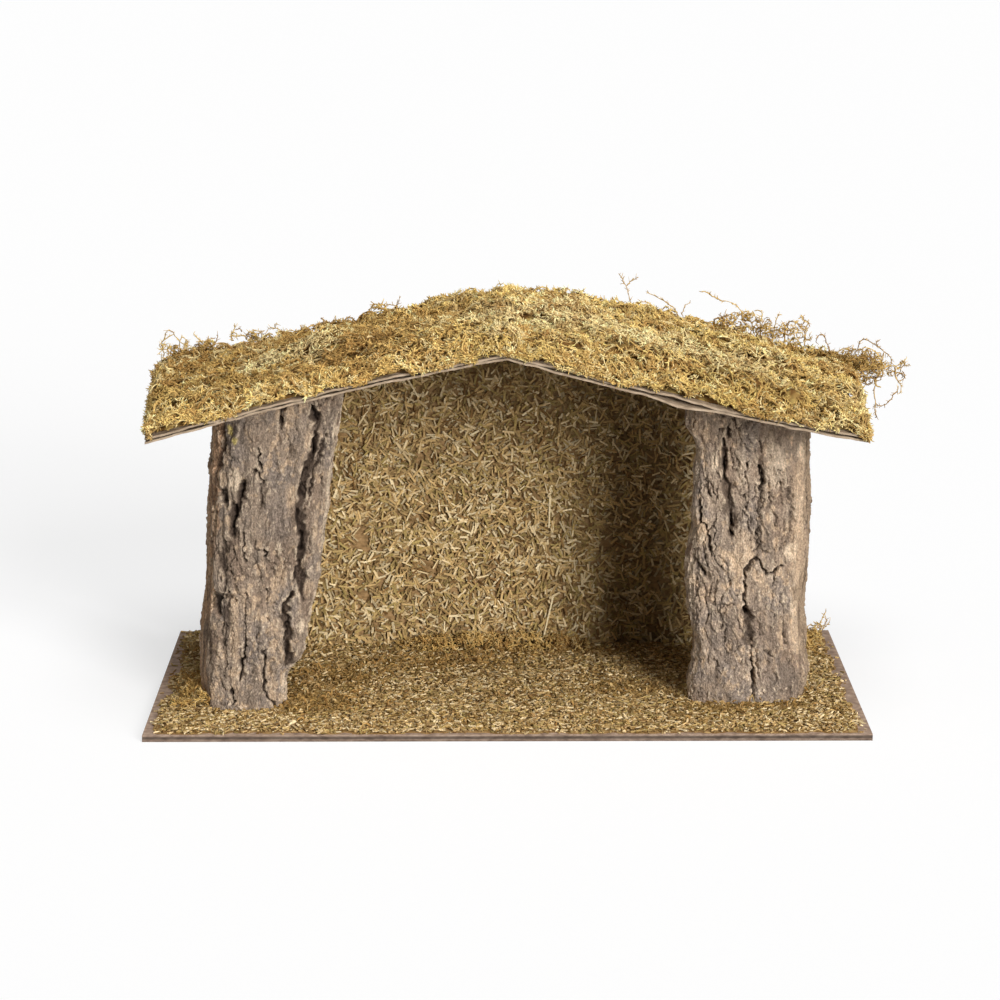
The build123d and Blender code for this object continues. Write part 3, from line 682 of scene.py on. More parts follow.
def add_noise(material, finish, detail):
    """Noise over the piece's own space, stretched along its axes."""
    nodes = material.node_tree.nodes
    links = material.node_tree.links
    place = nodes.new("ShaderNodeTexCoord")
    turn = nodes.new("ShaderNodeMapping")
    turn.inputs["Scale"].default_value = finish["stretch"]
    texture = nodes.new("ShaderNodeTexNoise")
    texture.inputs["Scale"].default_value = finish["grain"]
    texture.inputs["Detail"].default_value = detail
    links.new(place.outputs["Object"], turn.inputs["Vector"])
    links.new(turn.outputs["Vector"], texture.inputs["Vector"])
    return texture.outputs["Fac"]


def add_ramp(material, value, places, shades):
    """Colours along a value."""
    colours = material.node_tree.nodes.new("ShaderNodeValToRGB")
    material.node_tree.links.new(value, colours.inputs["Fac"])
    elements = colours.color_ramp.elements
    while len(elements) < len(places):
        elements.new(NEW_STOP_PLACE)
    for element, place, shade in zip(elements, places, shades):
        element.position = place
        element.color = (*shade, 1.0)
    return colours.outputs["Color"]


def add_bump(material, finish, shader, value):
    """Fine relief from a noise."""
    bump = material.node_tree.nodes.new("ShaderNodeBump")
    bump.inputs["Distance"].default_value = finish["relief"]
    material.node_tree.links.new(value, bump.inputs["Height"])
    material.node_tree.links.new(bump.outputs["Normal"], shader.inputs["Normal"])


def multiply(material, first, second, socket):
    """The product of two colours, led into a socket."""
    mix = material.node_tree.nodes.new("ShaderNodeMix")
    mix.data_type = "RGBA"
    mix.blend_type = "MULTIPLY"
    mix.inputs["Factor"].default_value = 1.0
    colours = [socket_in for socket_in in mix.inputs if socket_in.type == "RGBA"]
    result = [socket_out for socket_out in mix.outputs if socket_out.type == "RGBA"][0]
    material.node_tree.links.new(first, colours[0])
    material.node_tree.links.new(second, colours[1])
    material.node_tree.links.new(result, socket)


def greys(shades):
    """Grey colours of some shades."""
    return [(shade, shade, shade) for shade in shades]


def tinted_material(name):
    """A material that takes each point's tint and breaks it up with grain."""
    finish = FINISHES[name]
    material, shader = new_material(name)
    tint = material.node_tree.nodes.new("ShaderNodeAttribute")
    tint.attribute_name = TINT_NAME
    grain = add_noise(material, finish, TINT_DETAIL)
    colours = add_ramp(material, grain, TWO_SHADE_PLACES, greys(finish["shades"]))
    multiply(material, tint.outputs["Color"], colours, shader.inputs["Base Color"])
    add_bump(material, finish, shader, grain)
    return material


def sheet_material(name, shades):
    """A pressed or paper sheet with fibres of three shades."""
    finish = FINISHES[name]
    material, shader = new_material(name)
    grain = add_noise(material, finish, SHEET_DETAIL)
    colours = add_ramp(material, grain, THREE_SHADE_PLACES, shades)
    material.node_tree.links.new(colours, shader.inputs["Base Color"])
    add_bump(material, finish, shader, grain)
    return material


def fixing_material(name, shades):
    """The material of a fixing, clouded between two shades."""
    material, shader = new_material(name)
    cloud = add_noise(material, FINISHES[name], FIXING_DETAIL)
    colours = add_ramp(material, cloud, TWO_SHADE_PLACES, shades)
    material.node_tree.links.new(colours, shader.inputs["Base Color"])
    return material, shader


def dress(node, material):
    """Give a solid of the frame its material."""
    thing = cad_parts[node]
    thing.data.materials.clear()
    thing.data.materials.append(material)


# Bark


def plan_samples(plan):
    """Evenly spread places around a post's rounded plan, more of them where the bark shows."""
    corners = np.array(plan + plan[:1])
    runs = np.linalg.norm(np.diff(corners, axis=0), axis=1)
    reached = np.concatenate([[0], np.cumsum(runs)])
    even = np.linspace(0, reached[-1], PLAN_SAMPLE_COUNT, endpoint=False)
    outline = np.stack([np.interp(even, reached, corners[:, axis]) for axis in (0, 1)], axis=1)
    window = np.ones(PLAN_ROUNDING_COUNT) / PLAN_ROUNDING_COUNT
    half = PLAN_ROUNDING_COUNT // 2
    wrapped = np.concatenate([outline[-half:], outline, outline[:half]])
    rounded = np.stack([np.convolve(wrapped[:, axis], window, "valid") for axis in (0, 1)], axis=1)
    weight = np.where(rounded[:, 1] < FRONT_LIMIT_SHARE, FRONT_DENSITY, 1.0)
    spread = np.cumsum(weight) - weight[0]
    wanted = np.linspace(0, spread[-1] + weight[0], POST_COLUMN_COUNT, endpoint=False)
    return np.stack([np.interp(wanted, spread, rounded[:, axis]) for axis in (0, 1)], axis=1)


def level_shares(post, height):
    """Shares of the outer edge, the inner edge and the wear at heights of a post."""
    levels = np.array(post["levels"])
    return [np.interp(height, levels[:, 0], levels[:, column]) for column in (1, 2, 3)]


def post_shape(node):
    """Smooth points of a post before its bark, as rows of rings, with their outward directions."""
    post = POSTS[node]
    low, high = box_mm(node)
    _, fall, ridge_under, _ = roof_line()
    plan = plan_samples(post["plan"])
    height = np.linspace(0, 1, POST_ROW_COUNT)
    outer, inner, worn = [share[:, None] for share in level_shares(post, height)]
    across = outer + plan[None, :, 0] * (inner - outer)
    size = high - low
    edge = high[0] if post["side"] > 0 else low[0]
    x = edge - post["side"] * across * size[0]
    y = low[1] + (worn + plan[None, :, 1] * (1 - worn)) * size[1]
    z = low[2] + height[:, None] * (ridge_under - fall * np.abs(x) - low[2])
    points = np.stack([x, y, z], axis=-1)
    around = np.roll(points, -1, axis=1) - np.roll(points, 1, axis=1)
    out = np.stack([around[..., 1], -around[..., 0], np.zeros_like(x)], axis=-1)
    middle = points.mean(axis=1, keepdims=True)
    facing = np.sign(np.sum(out * (points - middle), axis=(1, 2)))[:, None, None]
    return points, unit(out * facing)


def on_bark(node, spots):
    """Where points picked on a post's view lie on its bark, across and up."""
    post = POSTS[node]
    low, high = box_mm(node)
    size = high - low
    front = np.array(post["plan"][:PLAN_FRONT_COUNT])
    edge = high[0] if post["side"] > 0 else low[0]
    depth = np.full(len(spots), low[1])
    for _ in range(SIGHT_ROUND_COUNT):
        place = seen_at(post["view"], spots, depth)
        outer, inner, worn = level_shares(post, (place[:, 2] - low[2]) / size[2])
        share = post["side"] * (edge - place[:, 0]) / size[0]
        across = (share - outer) / (inner - outer)
        depth = low[1] + size[1] * (worn + (1 - worn) * np.interp(across, front[:, 0], front[:, 1]))
    return place[:, (0, 2)]


def pushed(points, pushes, seed):
    """Points pushed aside by noise along each axis."""
    moved = points
    for amount, (length, octaves, step) in pushes:
        push = [rough(points, length, seed + step + AXIS_SEED_STEP * axis, octaves) for axis in range(3)]
        moved = moved + amount * np.stack(push, axis=1)
    return moved


def crack_depths(node, points, out):
    """How deep the picked ravines and the picked slits cut at each point of a post's front."""
    post = POSTS[node]
    place = pushed(points, CRACK_PUSHES, post["seed"])[:, (0, 2)]
    usual, swing, least = CRACK_WIDTH_SHARES
    swell = np.maximum(usual + swing * grained(points, CRACK_SWELL, post["seed"]), least)
    fade = ramp(grained(points, CRACK_FADE, post["seed"]), *CRACK_FADE_LIMITS)
    ravines = np.zeros(len(points))
    slits = np.zeros(len(points))
    for kind, lines in post["cracks"].items():
        sizes = CRACK_KINDS[kind]
        kept = slits if kind in SLIT_KINDS else ravines
        for line in lines:
            corners = on_bark(node, line)
            gap = np.full(len(points), np.inf)
            for start, end in zip(corners, corners[1:]):
                run = end - start
                share = np.clip((place - start) @ run / (run @ run), 0, 1)
                gap = np.minimum(gap, np.linalg.norm(place - start - share[:, None] * run, axis=1))
            open_share = np.clip((1 - gap / (sizes["width"] * swell)) / sizes["wall_share"], 0, 1)
            cut = sizes["depth"] * np.maximum(fade, sizes["least_share"]) * open_share
            np.maximum(kept, cut, out=kept)
    frontal = ramp(-out[:, 1], *CRACK_FRONT_LIMITS)
    return frontal * ravines, frontal * slits


def bark_relief(node, points, out):
    """Height of the bark at each point, depths of its ravines and furrows, and the level of its plate."""
    post = POSTS[node]
    seed = post["seed"]
    place = pushed(points, BARK_PUSHES, seed)
    ravines, furrows = crack_depths(node, points, out)
    for layer in FURROW_LAYERS:
        crease = 1 - np.abs(grained(place, layer["grain"], seed))
        here = ramp(grained(points, layer["here"], seed), *FURROW_LIMITS)
        start = layer["start_share"]
        furrows = furrows + layer["depth"] * here * np.clip((crease - start) / (1 - start), 0, 1)
    rise = np.zeros(len(points))
    for layer in SWELL_LAYERS:
        rise = rise + layer["height"] * grained(place, layer["grain"], seed)
    levels = np.zeros(len(points))
    for number, layer in enumerate(PLATE_LAYERS):
        plates = layer["levels"] * grained(place, layer["grain"], seed)
        level = np.floor(plates)
        levels += level / 2 ** number
        rise = rise + layer["height"] * (level + ramp(plates - level, 1 - layer["edge_share"], 1.0))
    flank = ramp(post["side"] * out[:, 0], *FLANK_LIMITS)
    fibres = grained(points, FLANK_FIBRES["grain"], seed)
    rise = rise * (1 - FLANK_CALM_SHARE * flank) + flank * FLANK_FIBRES["height"] * fibres
    return np.minimum(rise, BARK_OUT_LIMIT) - ravines - furrows, ravines, furrows, levels


def blurred(values, reach):
    """Mean over a square of neighbours; the columns run around the post."""
    size = 2 * reach + 1
    wrapped = np.concatenate([values[:, -reach:], values, values[:, :reach]], axis=1)
    sums = np.cumsum(np.pad(wrapped, ((0, 0), (1, 0))), axis=1)
    across = (sums[:, size:] - sums[:, :-size]) / size
    padded = np.pad(across, ((reach, reach), (0, 0)), mode="edge")
    sums = np.cumsum(np.pad(padded, ((1, 0), (0, 0))), axis=0)
    return (sums[size:] - sums[:-size]) / size


def patched(node, points, out, ragged, tints, bark):
    """The bark's colours with the picked patches laid over them, ragged at their edges."""
    frontal = cover(-out[:, 1], BARK_COVERS["front"])
    for colour, middle, half, strength in POSTS[node]["patches"]:
        spots = (middle, (middle[0] + half[0], middle[1]), (middle[0], middle[1] + half[1]))
        place, beside, below = on_bark(node, spots)
        size = (beside[0] - place[0], below[1] - place[1])
        reach = spot_reach(points[:, 0], points[:, 2], place, size)
        share = strength * frontal * (1 - cover(reach + ragged, BARK_COVERS["patch"]))
        tints = blend(tints, getattr(bark, colour + "_colour"), share)
    return tints


def flank_tints(post, fibres, bark):
    """Colours of a post's outer side, streaked along its fibres, scaled lighter or darker as painted light
    and shade.
    """
    tints = painted(getattr(bark, post["flank"] + "_colour"), len(fibres))
    tints = blend(tints, bark.brown_colour, cover(fibres, BARK_COVERS["flank_brown"]))
    # Painted light and shade: the shaded left flank is lightened, the lit right flank darkened
    tints = blend(tints, bark.tan_colour, cover(-fibres, BARK_COVERS["flank_tan"])) * post["flank_light_and_shade_share"]
    return blend(tints, bark.crack_shade_and_fibre_colour, cover(fibres, BARK_COVERS["flank_furrow"]))


def bark_tints(node, points, out, relief, bark):
    """Colours of the bark: grey plates, tan flecks where layers broke off, fibrous flank, painted shade in
    furrows, cavities and ravines, and painted light on rims, posts and flanks.
    """
    height, ravines, furrows, levels = relief
    post = POSTS[node]
    rings = height.reshape(POST_ROW_COUNT, POST_COLUMN_COUNT)
    stand = (rings - blurred(rings, CAVITY_REACH)).ravel()
    side = post["side"] * out[:, 0]
    grains = {name: grained(points, grain, post["seed"]) for name, grain in BARK_GRAINS.items()}
    patch = grains["patch"]
    flecks = grains["fleck"] + CLOUD_SHARE * grains["cloud"] - LEVEL_SHARE * levels
    tints = painted(bark.plate_colour, len(points))
    tints = blend(tints, bark.grey_colour, cover(patch, BARK_COVERS["grey"]))
    tints = blend(tints, bark.brown_colour, cover(-patch, BARK_COVERS["brown"]))
    tints = blend(tints, bark.tan_colour, cover(flecks, BARK_COVERS["tan"]))
    tints = patched(node, points, out, RAGGED_SHARE * grains["ragged"], tints, bark)
    chips_off = grains["chip"] + CHIP_PATCH_SHARE * patch
    tints = blend(tints, bark.pale_colour, cover(chips_off, BARK_COVERS["chip"]))
    flank = flank_tints(post, grains["fibre"], bark)
    tints = blend(tints, flank, cover(side + FLANK_PATCH_SHARE * patch, BARK_COVERS["flank"]))
    light = 1 + STREAK_SHARE * grains["streak"] + SPECK_SHARE * grains["speck"]
    # Painted light: the post's colours are scaled as a whole; the streaks and specks are the bark's own
    # tone
    tints = tints * (post["painted_light_share"] * light)[:, None]
    broken = cover(grains["broken"], BARK_COVERS["broken"])
    # Wear and painted highlight: raised rims, where the bark is broken, lighten toward the pale colour
    tints = blend(tints, bark.pale_colour, broken * cover(stand, BARK_COVERS["worn"]))
    tints = blend(tints, bark.pale_colour, broken * cover(-side, BARK_COVERS["inner_edge"]))
    # Painted shade: the ravines' floors darken, more on the left post than on the right
    tints = blend(tints, bark.ravine_shade_colour, post["ravine_shade_share"] * cover(ravines, BARK_COVERS["ravine"]))
    # Painted shade: cavities that lie below their neighbours, and deep furrows, darken toward the crack
    # colour
    tints = blend(tints, bark.crack_shade_and_fibre_colour, cover(-stand, BARK_COVERS["hollow"]))
    return blend(tints, bark.crack_shade_and_fibre_colour, cover(furrows, BARK_COVERS["furrow"]))


def build_post(node, bark, material):
    """One bark post, closed at the foot and under the roof."""
    shape, out = post_shape(node)
    points = shape.reshape(-1, 3)
    outward = out.reshape(-1, 3)
    relief = bark_relief(node, points, outward)
    moved = points + outward * relief[0][:, None]
    _, fall, ridge_under, _ = roof_line()
    moved[:, 2] = np.minimum(moved[:, 2], ridge_under - fall * np.abs(moved[:, 0]) - BARK_TOP_GAP)
    tints = bark_tints(node, points, outward, relief, bark)
    index = np.arange(len(points)).reshape(POST_ROW_COUNT, POST_COLUMN_COUNT)
    near = index[:-1, :]
    far = index[1:, :]
    quads = np.stack([near, np.roll(near, -1, axis=1), np.roll(far, -1, axis=1), far], axis=-1)
    ends = [index[:1, ::-1], index[-1:, :]]
    column, row = np.meshgrid(np.arange(POST_COLUMN_COUNT) / POST_COLUMN_COUNT,
                              np.arange(POST_ROW_COUNT) / POST_ROW_COUNT)
    sheet = np.stack([column, row], axis=-1).reshape(-1, 2)
    heap = Heap()
    heap.add(moved, [quads.reshape(-1, 4)] + ends, tints, sheet)
    settle(heap.piece(node + "_bark", material, True), [node])


class STABLE_OT_bark_posts(bpy.types.Operator):
    """Build the two bark posts"""

    bl_idname = "stable.bark_posts"
    bl_label = "Bark posts"

    def execute(self, context):
        bark = context.scene.stable_bark
        material = tinted_material("bark")
        for node in POSTS:
            build_post(node, bark, material)
        return {"FINISHED"}


class StableBark(bpy.types.PropertyGroup):
    """Colours of the bark."""

    plate_colour: colour_setting("Plates", "Weathered face of the bark", (0.345, 0.261, 0.190))
    grey_colour: colour_setting("Grey plates", "Greyer parts of the bark", (0.26, 0.206, 0.165))
    dark_colour: colour_setting("Dark plates", "Darkest plates of the bark", (0.165, 0.128, 0.10))
    brown_colour: colour_setting("Brown plates", "Browner parts of the bark", (0.215, 0.145, 0.10))
    tan_colour: colour_setting("Broken layers", "Tan layers where plates broke off", (0.57, 0.41, 0.27))
    # The pale colour also lays a painted highlight on raised rims
    pale_colour: colour_setting("Edges", "Worn edges of the plates", (0.76, 0.60, 0.43))
    red_colour: colour_setting("Flank", "Red-brown fibres at the outer side", (0.44, 0.27, 0.16))
    lichen_colour: colour_setting("Lichen", "Yellow crust near the left post's top", (0.60, 0.47, 0.16))
    # Painted shade laid into the floors of the wide splits
    ravine_shade_colour: colour_setting("Ravines", "Floors of the wide splits", (0.075, 0.052, 0.038))
    # Painted shade laid into the cracks and cavities; the same colour also streaks the flank's fibres
    crack_shade_and_fibre_colour: colour_setting("Furrows", "Depths of the cracks", (0.04, 0.027, 0.02))


# Moss


class TopOf:
    """Upper surface of some solids of the frame, read once on a grid, with lumps and pits added to it."""

    def __init__(self, nodes, step, lump_height, pit_depth):
        self.lump_height = lump_height
        self.pit_depth = pit_depth
        boxes = [box_mm(node) for node in nodes]
        self.low = np.min([box[0] for box in boxes], axis=0)
        self.high = np.max([box[1] for box in boxes], axis=0)
        self.step = step
        self.columns = int((self.high[0] - self.low[0]) / step) + 1
        self.rows = int((self.high[1] - self.low[1]) / step) + 1
        depsgraph = bpy.context.evaluated_depsgraph_get()
        trees = [BVHTree.FromObject(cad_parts[node], depsgraph) for node in nodes]
        self.grid = np.full((self.rows, self.columns), np.nan)
        start = self.high[2] + step
        for row, column in np.ndindex(self.grid.shape):
            x = self.low[0] + (column + 0.5) * step
            y = self.low[1] + (row + 0.5) * step
            place = Vector((x * MM, y * MM, start * MM))
            hits = [tree.ray_cast(place, DOWN)[0] for tree in trees]
            heights = [hit.z / MM for hit in hits if hit is not None]
            if heights:
                self.grid[row, column] = max(heights)
        self.fill()

    def fill(self):
        """Spread the known heights into the empty cells beside them."""
        while np.isnan(self.grid).any():
            padded = np.pad(self.grid, 1, constant_values=np.nan)
            beside = np.stack([padded[:-2, 1:-1], padded[2:, 1:-1], padded[1:-1, :-2], padded[1:-1, 2:]])
            known = ~np.isnan(beside)
            total = np.where(known, beside, 0).sum(axis=0)
            count = known.sum(axis=0)
            mean = total / np.maximum(count, 1)
            gap = np.isnan(self.grid) & (count > 0)
            self.grid[gap] = mean[gap]

    def at(self, x, y):
        """Height at places, held level beyond the grid's edge."""
        across = np.clip((x - self.low[0]) / self.step - 0.5, 0, self.columns - 1 - TINY)
        along = np.clip((y - self.low[1]) / self.step - 0.5, 0, self.rows - 1 - TINY)
        column = across.astype(int)
        row = along.astype(int)
        beside = np.minimum(column + 1, self.columns - 1)
        behind = np.minimum(row + 1, self.rows - 1)
        across -= column
        along -= row
        near = self.grid[row, column] * (1 - across) + self.grid[row, beside] * across
        far = self.grid[behind, column] * (1 - across) + self.grid[behind, beside] * across
        level = near * (1 - along) + far * along
        return level + self.lump_height * lumps(x, y) - self.pit_depth * pit_share(x, y)


ROOF_MOSS_NODES = ["roof_moss_%s_%s_%s" % (side, level, end) for side in ("left", "right")
                   for level in ("lower", "upper") for end in ("front", "back")]
FLOOR_MOSS_NODES = ("wall_foot_moss", "left_post_moss", "right_rear_moss")
MOSS_GRID_STEP = 3.0
HEAP_GRID_STEP = 1.0
HEAP_LUMP_HEIGHT = 0.4
HEAP_PIT_DEPTH = 0.0
LUMP_GRAIN = (17.0, 2, 41)
LUMP_HEIGHT = 2.3
LUMP_GAIN = 2.2
LUMP_LEVEL = 0.75
LUMP_PROBE = 0.6
PIT_PLACES = (
    (71.9, -70.3), (108.8, -42.8), (144.1, -81.6), (-62.0, -34.0), (-160.0, -22.0), (-20.0, -56.0),
)
PIT_CORE = 1.5
PIT_REACH = 6.0
PIT_DEPTH = 4.0

# How the strands lie: gathered in clumps, bent gently, roots sunk in the tuft
CLUMP_STRAND_COUNT = 6
CLUMP_SPREAD = 1.5
CLUMP_TURN = 0.8
CLUMP_LIFT = 0.8
STRAND_TURN = 0.4
STEM_STEP_COUNT = 7
STEM_LENGTH_SHARES = (0.55, 1.35)
STEM_CURL = 1.7
STEM_WAVES = (0.15, 0.6)
STEM_PACES = (5.0, 9.0)
STEM_SINKS = (-1.6, -0.3)
STEM_ARCH = (2.0, 0.55)
STEM_TIP = (-0.2, 0.6)
STEM_JITTER = 0.07
TWIG_STEP_COUNT = 2
TWIG_SLANTS = (0.45, 1.0)
TWIG_RISES = (-0.15, 0.35)
TWIG_BEND = 0.3
TWIG_ROLL = 0.6
TWIG_LENGTH_SHARES = (0.6, 1.4)
RADIUS_SHARES = (0.7, 1.3)
KNOT_SHARES = (0.86, 1.16)
STEM_TAPER_SHARE = 0.55
TWIG_TAPER_SHARE = 0.6

# How far strands at the roof's front edge and eaves spread down the tuft's side, in millimetres
FRONT_RIM_SHARE = 0.22
FRONT_RIM_DEPTHS = (-1.5, 3.0)
FRONT_RIM_SINKS = (-3.4, -0.2)
EAVE_RIM_SHARE = 0.09
EAVE_RIM_DEPTHS = (-4.0, 0.5)
EAVE_RIM_SINKS = (-3.2, 0.0)
EAVE_RAGGED = 1.0
EAVE_INSETS = (5.5, 1.0)
BOARD_CLEARANCE = 0.45
EAVE_DROOP = 1.5
BACK_SPILL = 3.0
ROOF_SEED_STEP = 1000

# Heaps on the floor: shorter stems, browner, spread a little past the solid in front of it and behind it
FLOOR_SEED_STEP = 2000
HEAP_CLUMP_STRAND_COUNT = 3
HEAP_STEM_SHARE = 0.6
HEAP_SPILLS = (2.0, 1.0)
HEAP_BROWN_SHARE = 0.45
HEAP_TWIG_COUNT = 9

# Bands of the colour sheet: mat, then stems, then shoots
MAT_BAND = (0.0, 0.12)
STEM_BAND = (0.12, 0.55)
TWIG_BAND = (0.55, 1.0)
WHOLE_SHEET = (0.0, 1.0)

# The mat under the strands
MAT_CELL = 2.0
MAT_DROP = 2.5
MAT_INSET = 4.0
MAT_RIM_RISE = 0.4
MAT_RIM_SLOPE = 0.8
MAT_ROUGHNESS = 0.7
MAT_GRAIN = (4.0, 2, 31)
MAT_SHADE_GRAIN = (3.0, 2, 33)
MAT_SHADE_SHARES = (0.3, 0.4)
MAT_OLIVE_GRAIN = (3.0, 2, 35)
MAT_OLIVE_COVER = (-0.1, 0.6, 0.6)

# The moss's colours: the grain of each and where it lies, then single strands that are withered or bleached
MOSS_COVERS = {
    "olive": ((38.0, 3, 0), (0.0, 0.8, 0.8)),
    "pale": ((18.0, 3, 5), (0.2, 0.8, 0.7)),
    "brown": ((16.0, 3, 9), (0.3, 0.9, 0.7)),
}
PATCH_GRAIN = (12.0, 2, 13)
PATCH_RAGGED_SHARE = 0.35
PATCH_LIMITS = (0.4, 1.2)
# Painted shade in the creases between the lumps and in the pits
CREASE_SHADE_LIMITS = (-0.7, -0.2)
CREASE_SHADE_SHARE = 0.6
PIT_SHADE_SHARE = 0.75
WITHERED_CHANCE = 0.16
WITHERED_SHARE = 0.6
BLEACHED_CHANCE = 0.82
BLEACHED_SHARE = 0.65
STRAND_SHADES = (0.78, 1.3)
SHOOT_SHADES = (0.88, 1.2)
ROOT_SHADE_FADE = 1.3

# Patches of moss that differ from the rest: middle and half size in plan, then colour and strength
MOSS_PATCHES = (
    ((-95.0, 0.0), (105.0, 110.0), "amber", 0.62),
    ((-108.0, -12.0), (32.0, 17.0), "pale", 0.8),
    ((-128.0, -62.0), (44.0, 16.0), "gold", 0.6),
    ((-64.0, -27.0), (20.0, 18.0), "brown", 0.5),
    ((-77.0, -50.0), (15.0, 11.0), "brown", 0.55),
    ((-170.0, 50.0), (22.0, 36.0), "brown", 0.65),
    ((-167.0, -16.0), (10.0, 15.0), "brown", 0.6),
    ((20.0, -20.0), (46.0, 40.0), "pale", 0.56),
    ((95.0, -20.0), (46.0, 34.0), "pale", 0.6),
    ((150.0, -50.0), (26.0, 34.0), "gold", 0.7),
    ((179.0, 25.0), (16.0, 34.0), "brown", 0.6),
    ((150.0, 62.0), (46.0, 16.0), "brown", 0.4),
)


def lumps(x, y):
    """Lumps of the moss, rounded above with sharp creases between them."""
    return LUMP_GAIN * np.abs(grained(on_plan(x, y), LUMP_GRAIN, MOSS_SEED)) - LUMP_LEVEL


def pit_share(x, y):
    """How deep in one of the roof moss's pits each place lies, from 0 to 1."""
    share = np.zeros(x.shape)
    for middle_x, middle_y in PIT_PLACES:
        share = np.maximum(share, 1 - ramp(np.hypot(x - middle_x, y - middle_y), PIT_CORE, PIT_REACH))
    return share


def moss_edge(y):
    """How far out from the ridge the roof's strands reach at places from front to back."""
    back_high = box_mm("roof_moss_right_lower_back")[1]
    front_high = box_mm("roof_moss_right_lower_front")[1]
    spread = (back_high[0] - front_high[0]) / (back_high[1] - front_high[1])
    front, back = box_mm("roof_top_liner")[0][1], back_high[1]
    inset = np.interp(y, (front, back), EAVE_INSETS)
    return back_high[0] + spread * (y - back) - inset


def moss_tints(rng, x, y, moss):
    """A colour for each strand: gold, with olive, pale and brown patches, painted shade in the creases
    between lumps, and dark in the pits.
    """
    place = on_plan(x, y)
    tints = painted(moss.gold_colour, len(x))
    for colour, (grain, limits) in MOSS_COVERS.items():
        share = cover(grained(place, grain, MOSS_SEED), limits)
        tints = blend(tints, getattr(moss, colour + "_colour"), share)
    ragged = PATCH_RAGGED_SHARE * grained(place, PATCH_GRAIN, MOSS_SEED)
    for middle, half, colour, strength in MOSS_PATCHES:
        share = strength * (1 - ramp(spot_reach(x, y, middle, half) + ragged, *PATCH_LIMITS))
        tints = blend(tints, getattr(moss, colour + "_colour"), share)
    # Painted shade: strands in the creases between lumps are browned
    tints = blend(tints, moss.brown_colour, CREASE_SHADE_SHARE * (1 - ramp(lumps(x, y), *CREASE_SHADE_LIMITS)))
    tints = blend(tints, moss.shadow_colour, PIT_SHADE_SHARE * pit_share(x, y))
    chance = rng.random(len(x))
    tints = blend(tints, moss.brown_colour, WITHERED_SHARE * (chance < WITHERED_CHANCE))
    tints = blend(tints, moss.pale_colour, BLEACHED_SHARE * (chance > BLEACHED_CHANCE))
    return tints * rng.uniform(*STRAND_SHADES, (len(x), 1))


def strand_flow(rng, x, y, clump):
    """The way that each strand sets out and how high it lies, much alike within a clump."""
    across = lumps(x + LUMP_PROBE, y) - lumps(x - LUMP_PROBE, y)
    along = lumps(x, y + LUMP_PROBE) - lumps(x, y - LUMP_PROBE)
    turns = rng.normal(0, CLUMP_TURN, clump.max() + 1)
    lifts = rng.normal(0, CLUMP_LIFT, clump.max() + 1)
    heading = np.arctan2(-along, -across) + turns[clump] + rng.normal(0, STRAND_TURN, len(x))
    return heading, lifts[clump] + rng.uniform(*STEM_SINKS, len(x))


def stem_paths(rng, x, y, flow, height_at, length, room):
    """Stems that lie along a surface, each bent its own way, held within a room on plan."""
    count = len(x)
    heading, lift = flow
    share = np.linspace(0, 1, STEM_STEP_COUNT)
    curl = rng.normal(0, STEM_CURL, count)
    wave = rng.uniform(*STEM_WAVES, count)
    pace = rng.uniform(*STEM_PACES, count)
    phase = rng.uniform(0, 2 * math.pi, count)
    swing = np.sin(pace[:, None] * share + phase[:, None])
    angle = heading[:, None] + curl[:, None] * share + wave[:, None] * swing
    run = (length * rng.uniform(*STEM_LENGTH_SHARES, count))[:, None] / (STEM_STEP_COUNT - 1)
    low, high = room
    path_x = np.clip(x[:, None] + np.cumsum(np.cos(angle) * run, axis=1), low[0], high[0])
    path_y = np.clip(y[:, None] + np.cumsum(np.sin(angle) * run, axis=1), low[1], high[1])
    arch = rng.gamma(*STEM_ARCH, count)
    tip = rng.normal(*STEM_TIP, count)
    rise = lift[:, None] + arch[:, None] * np.sin(math.pi * share) + tip[:, None] * share ** 2
    path = np.stack([path_x, path_y, height_at(path_x, path_y) + rise], axis=-1)
    return path + rng.normal(0, STEM_JITTER, path.shape)


def twig_paths(rng, stems, count, length, chances):
    """Short side shoots that leave the stems at a slant, some stems more often than others."""
    parent = rng.choice(len(stems), count, p=chances)
    step = rng.integers(1, stems.shape[1] - 1, count)
    between = rng.random((count, 1))
    start = stems[parent, step] * (1 - between) + stems[parent, step + 1] * between
    ahead = unit(stems[parent, step + 1] - stems[parent, step - 1] + TINY)
    aside = unit(np.cross(ahead, rng.normal(0, TWIG_ROLL, (count, 3)) + UP))
    slant = rng.uniform(*TWIG_SLANTS, count) * rng.choice((-1, 1), count)
    way = ahead * np.cos(slant)[:, None] + aside * np.sin(slant)[:, None]
    way[:, 2] += rng.uniform(*TWIG_RISES, count)
    bend = rng.normal(0, TWIG_BEND, (count, 3))
    share = np.linspace(0, 1, TWIG_STEP_COUNT)[None, :, None]
    reach = (length * rng.uniform(*TWIG_LENGTH_SHARES, count))[:, None, None]
    return start[:, None, :] + reach * (way[:, None, :] * share + bend[:, None, :] * share ** 2), parent


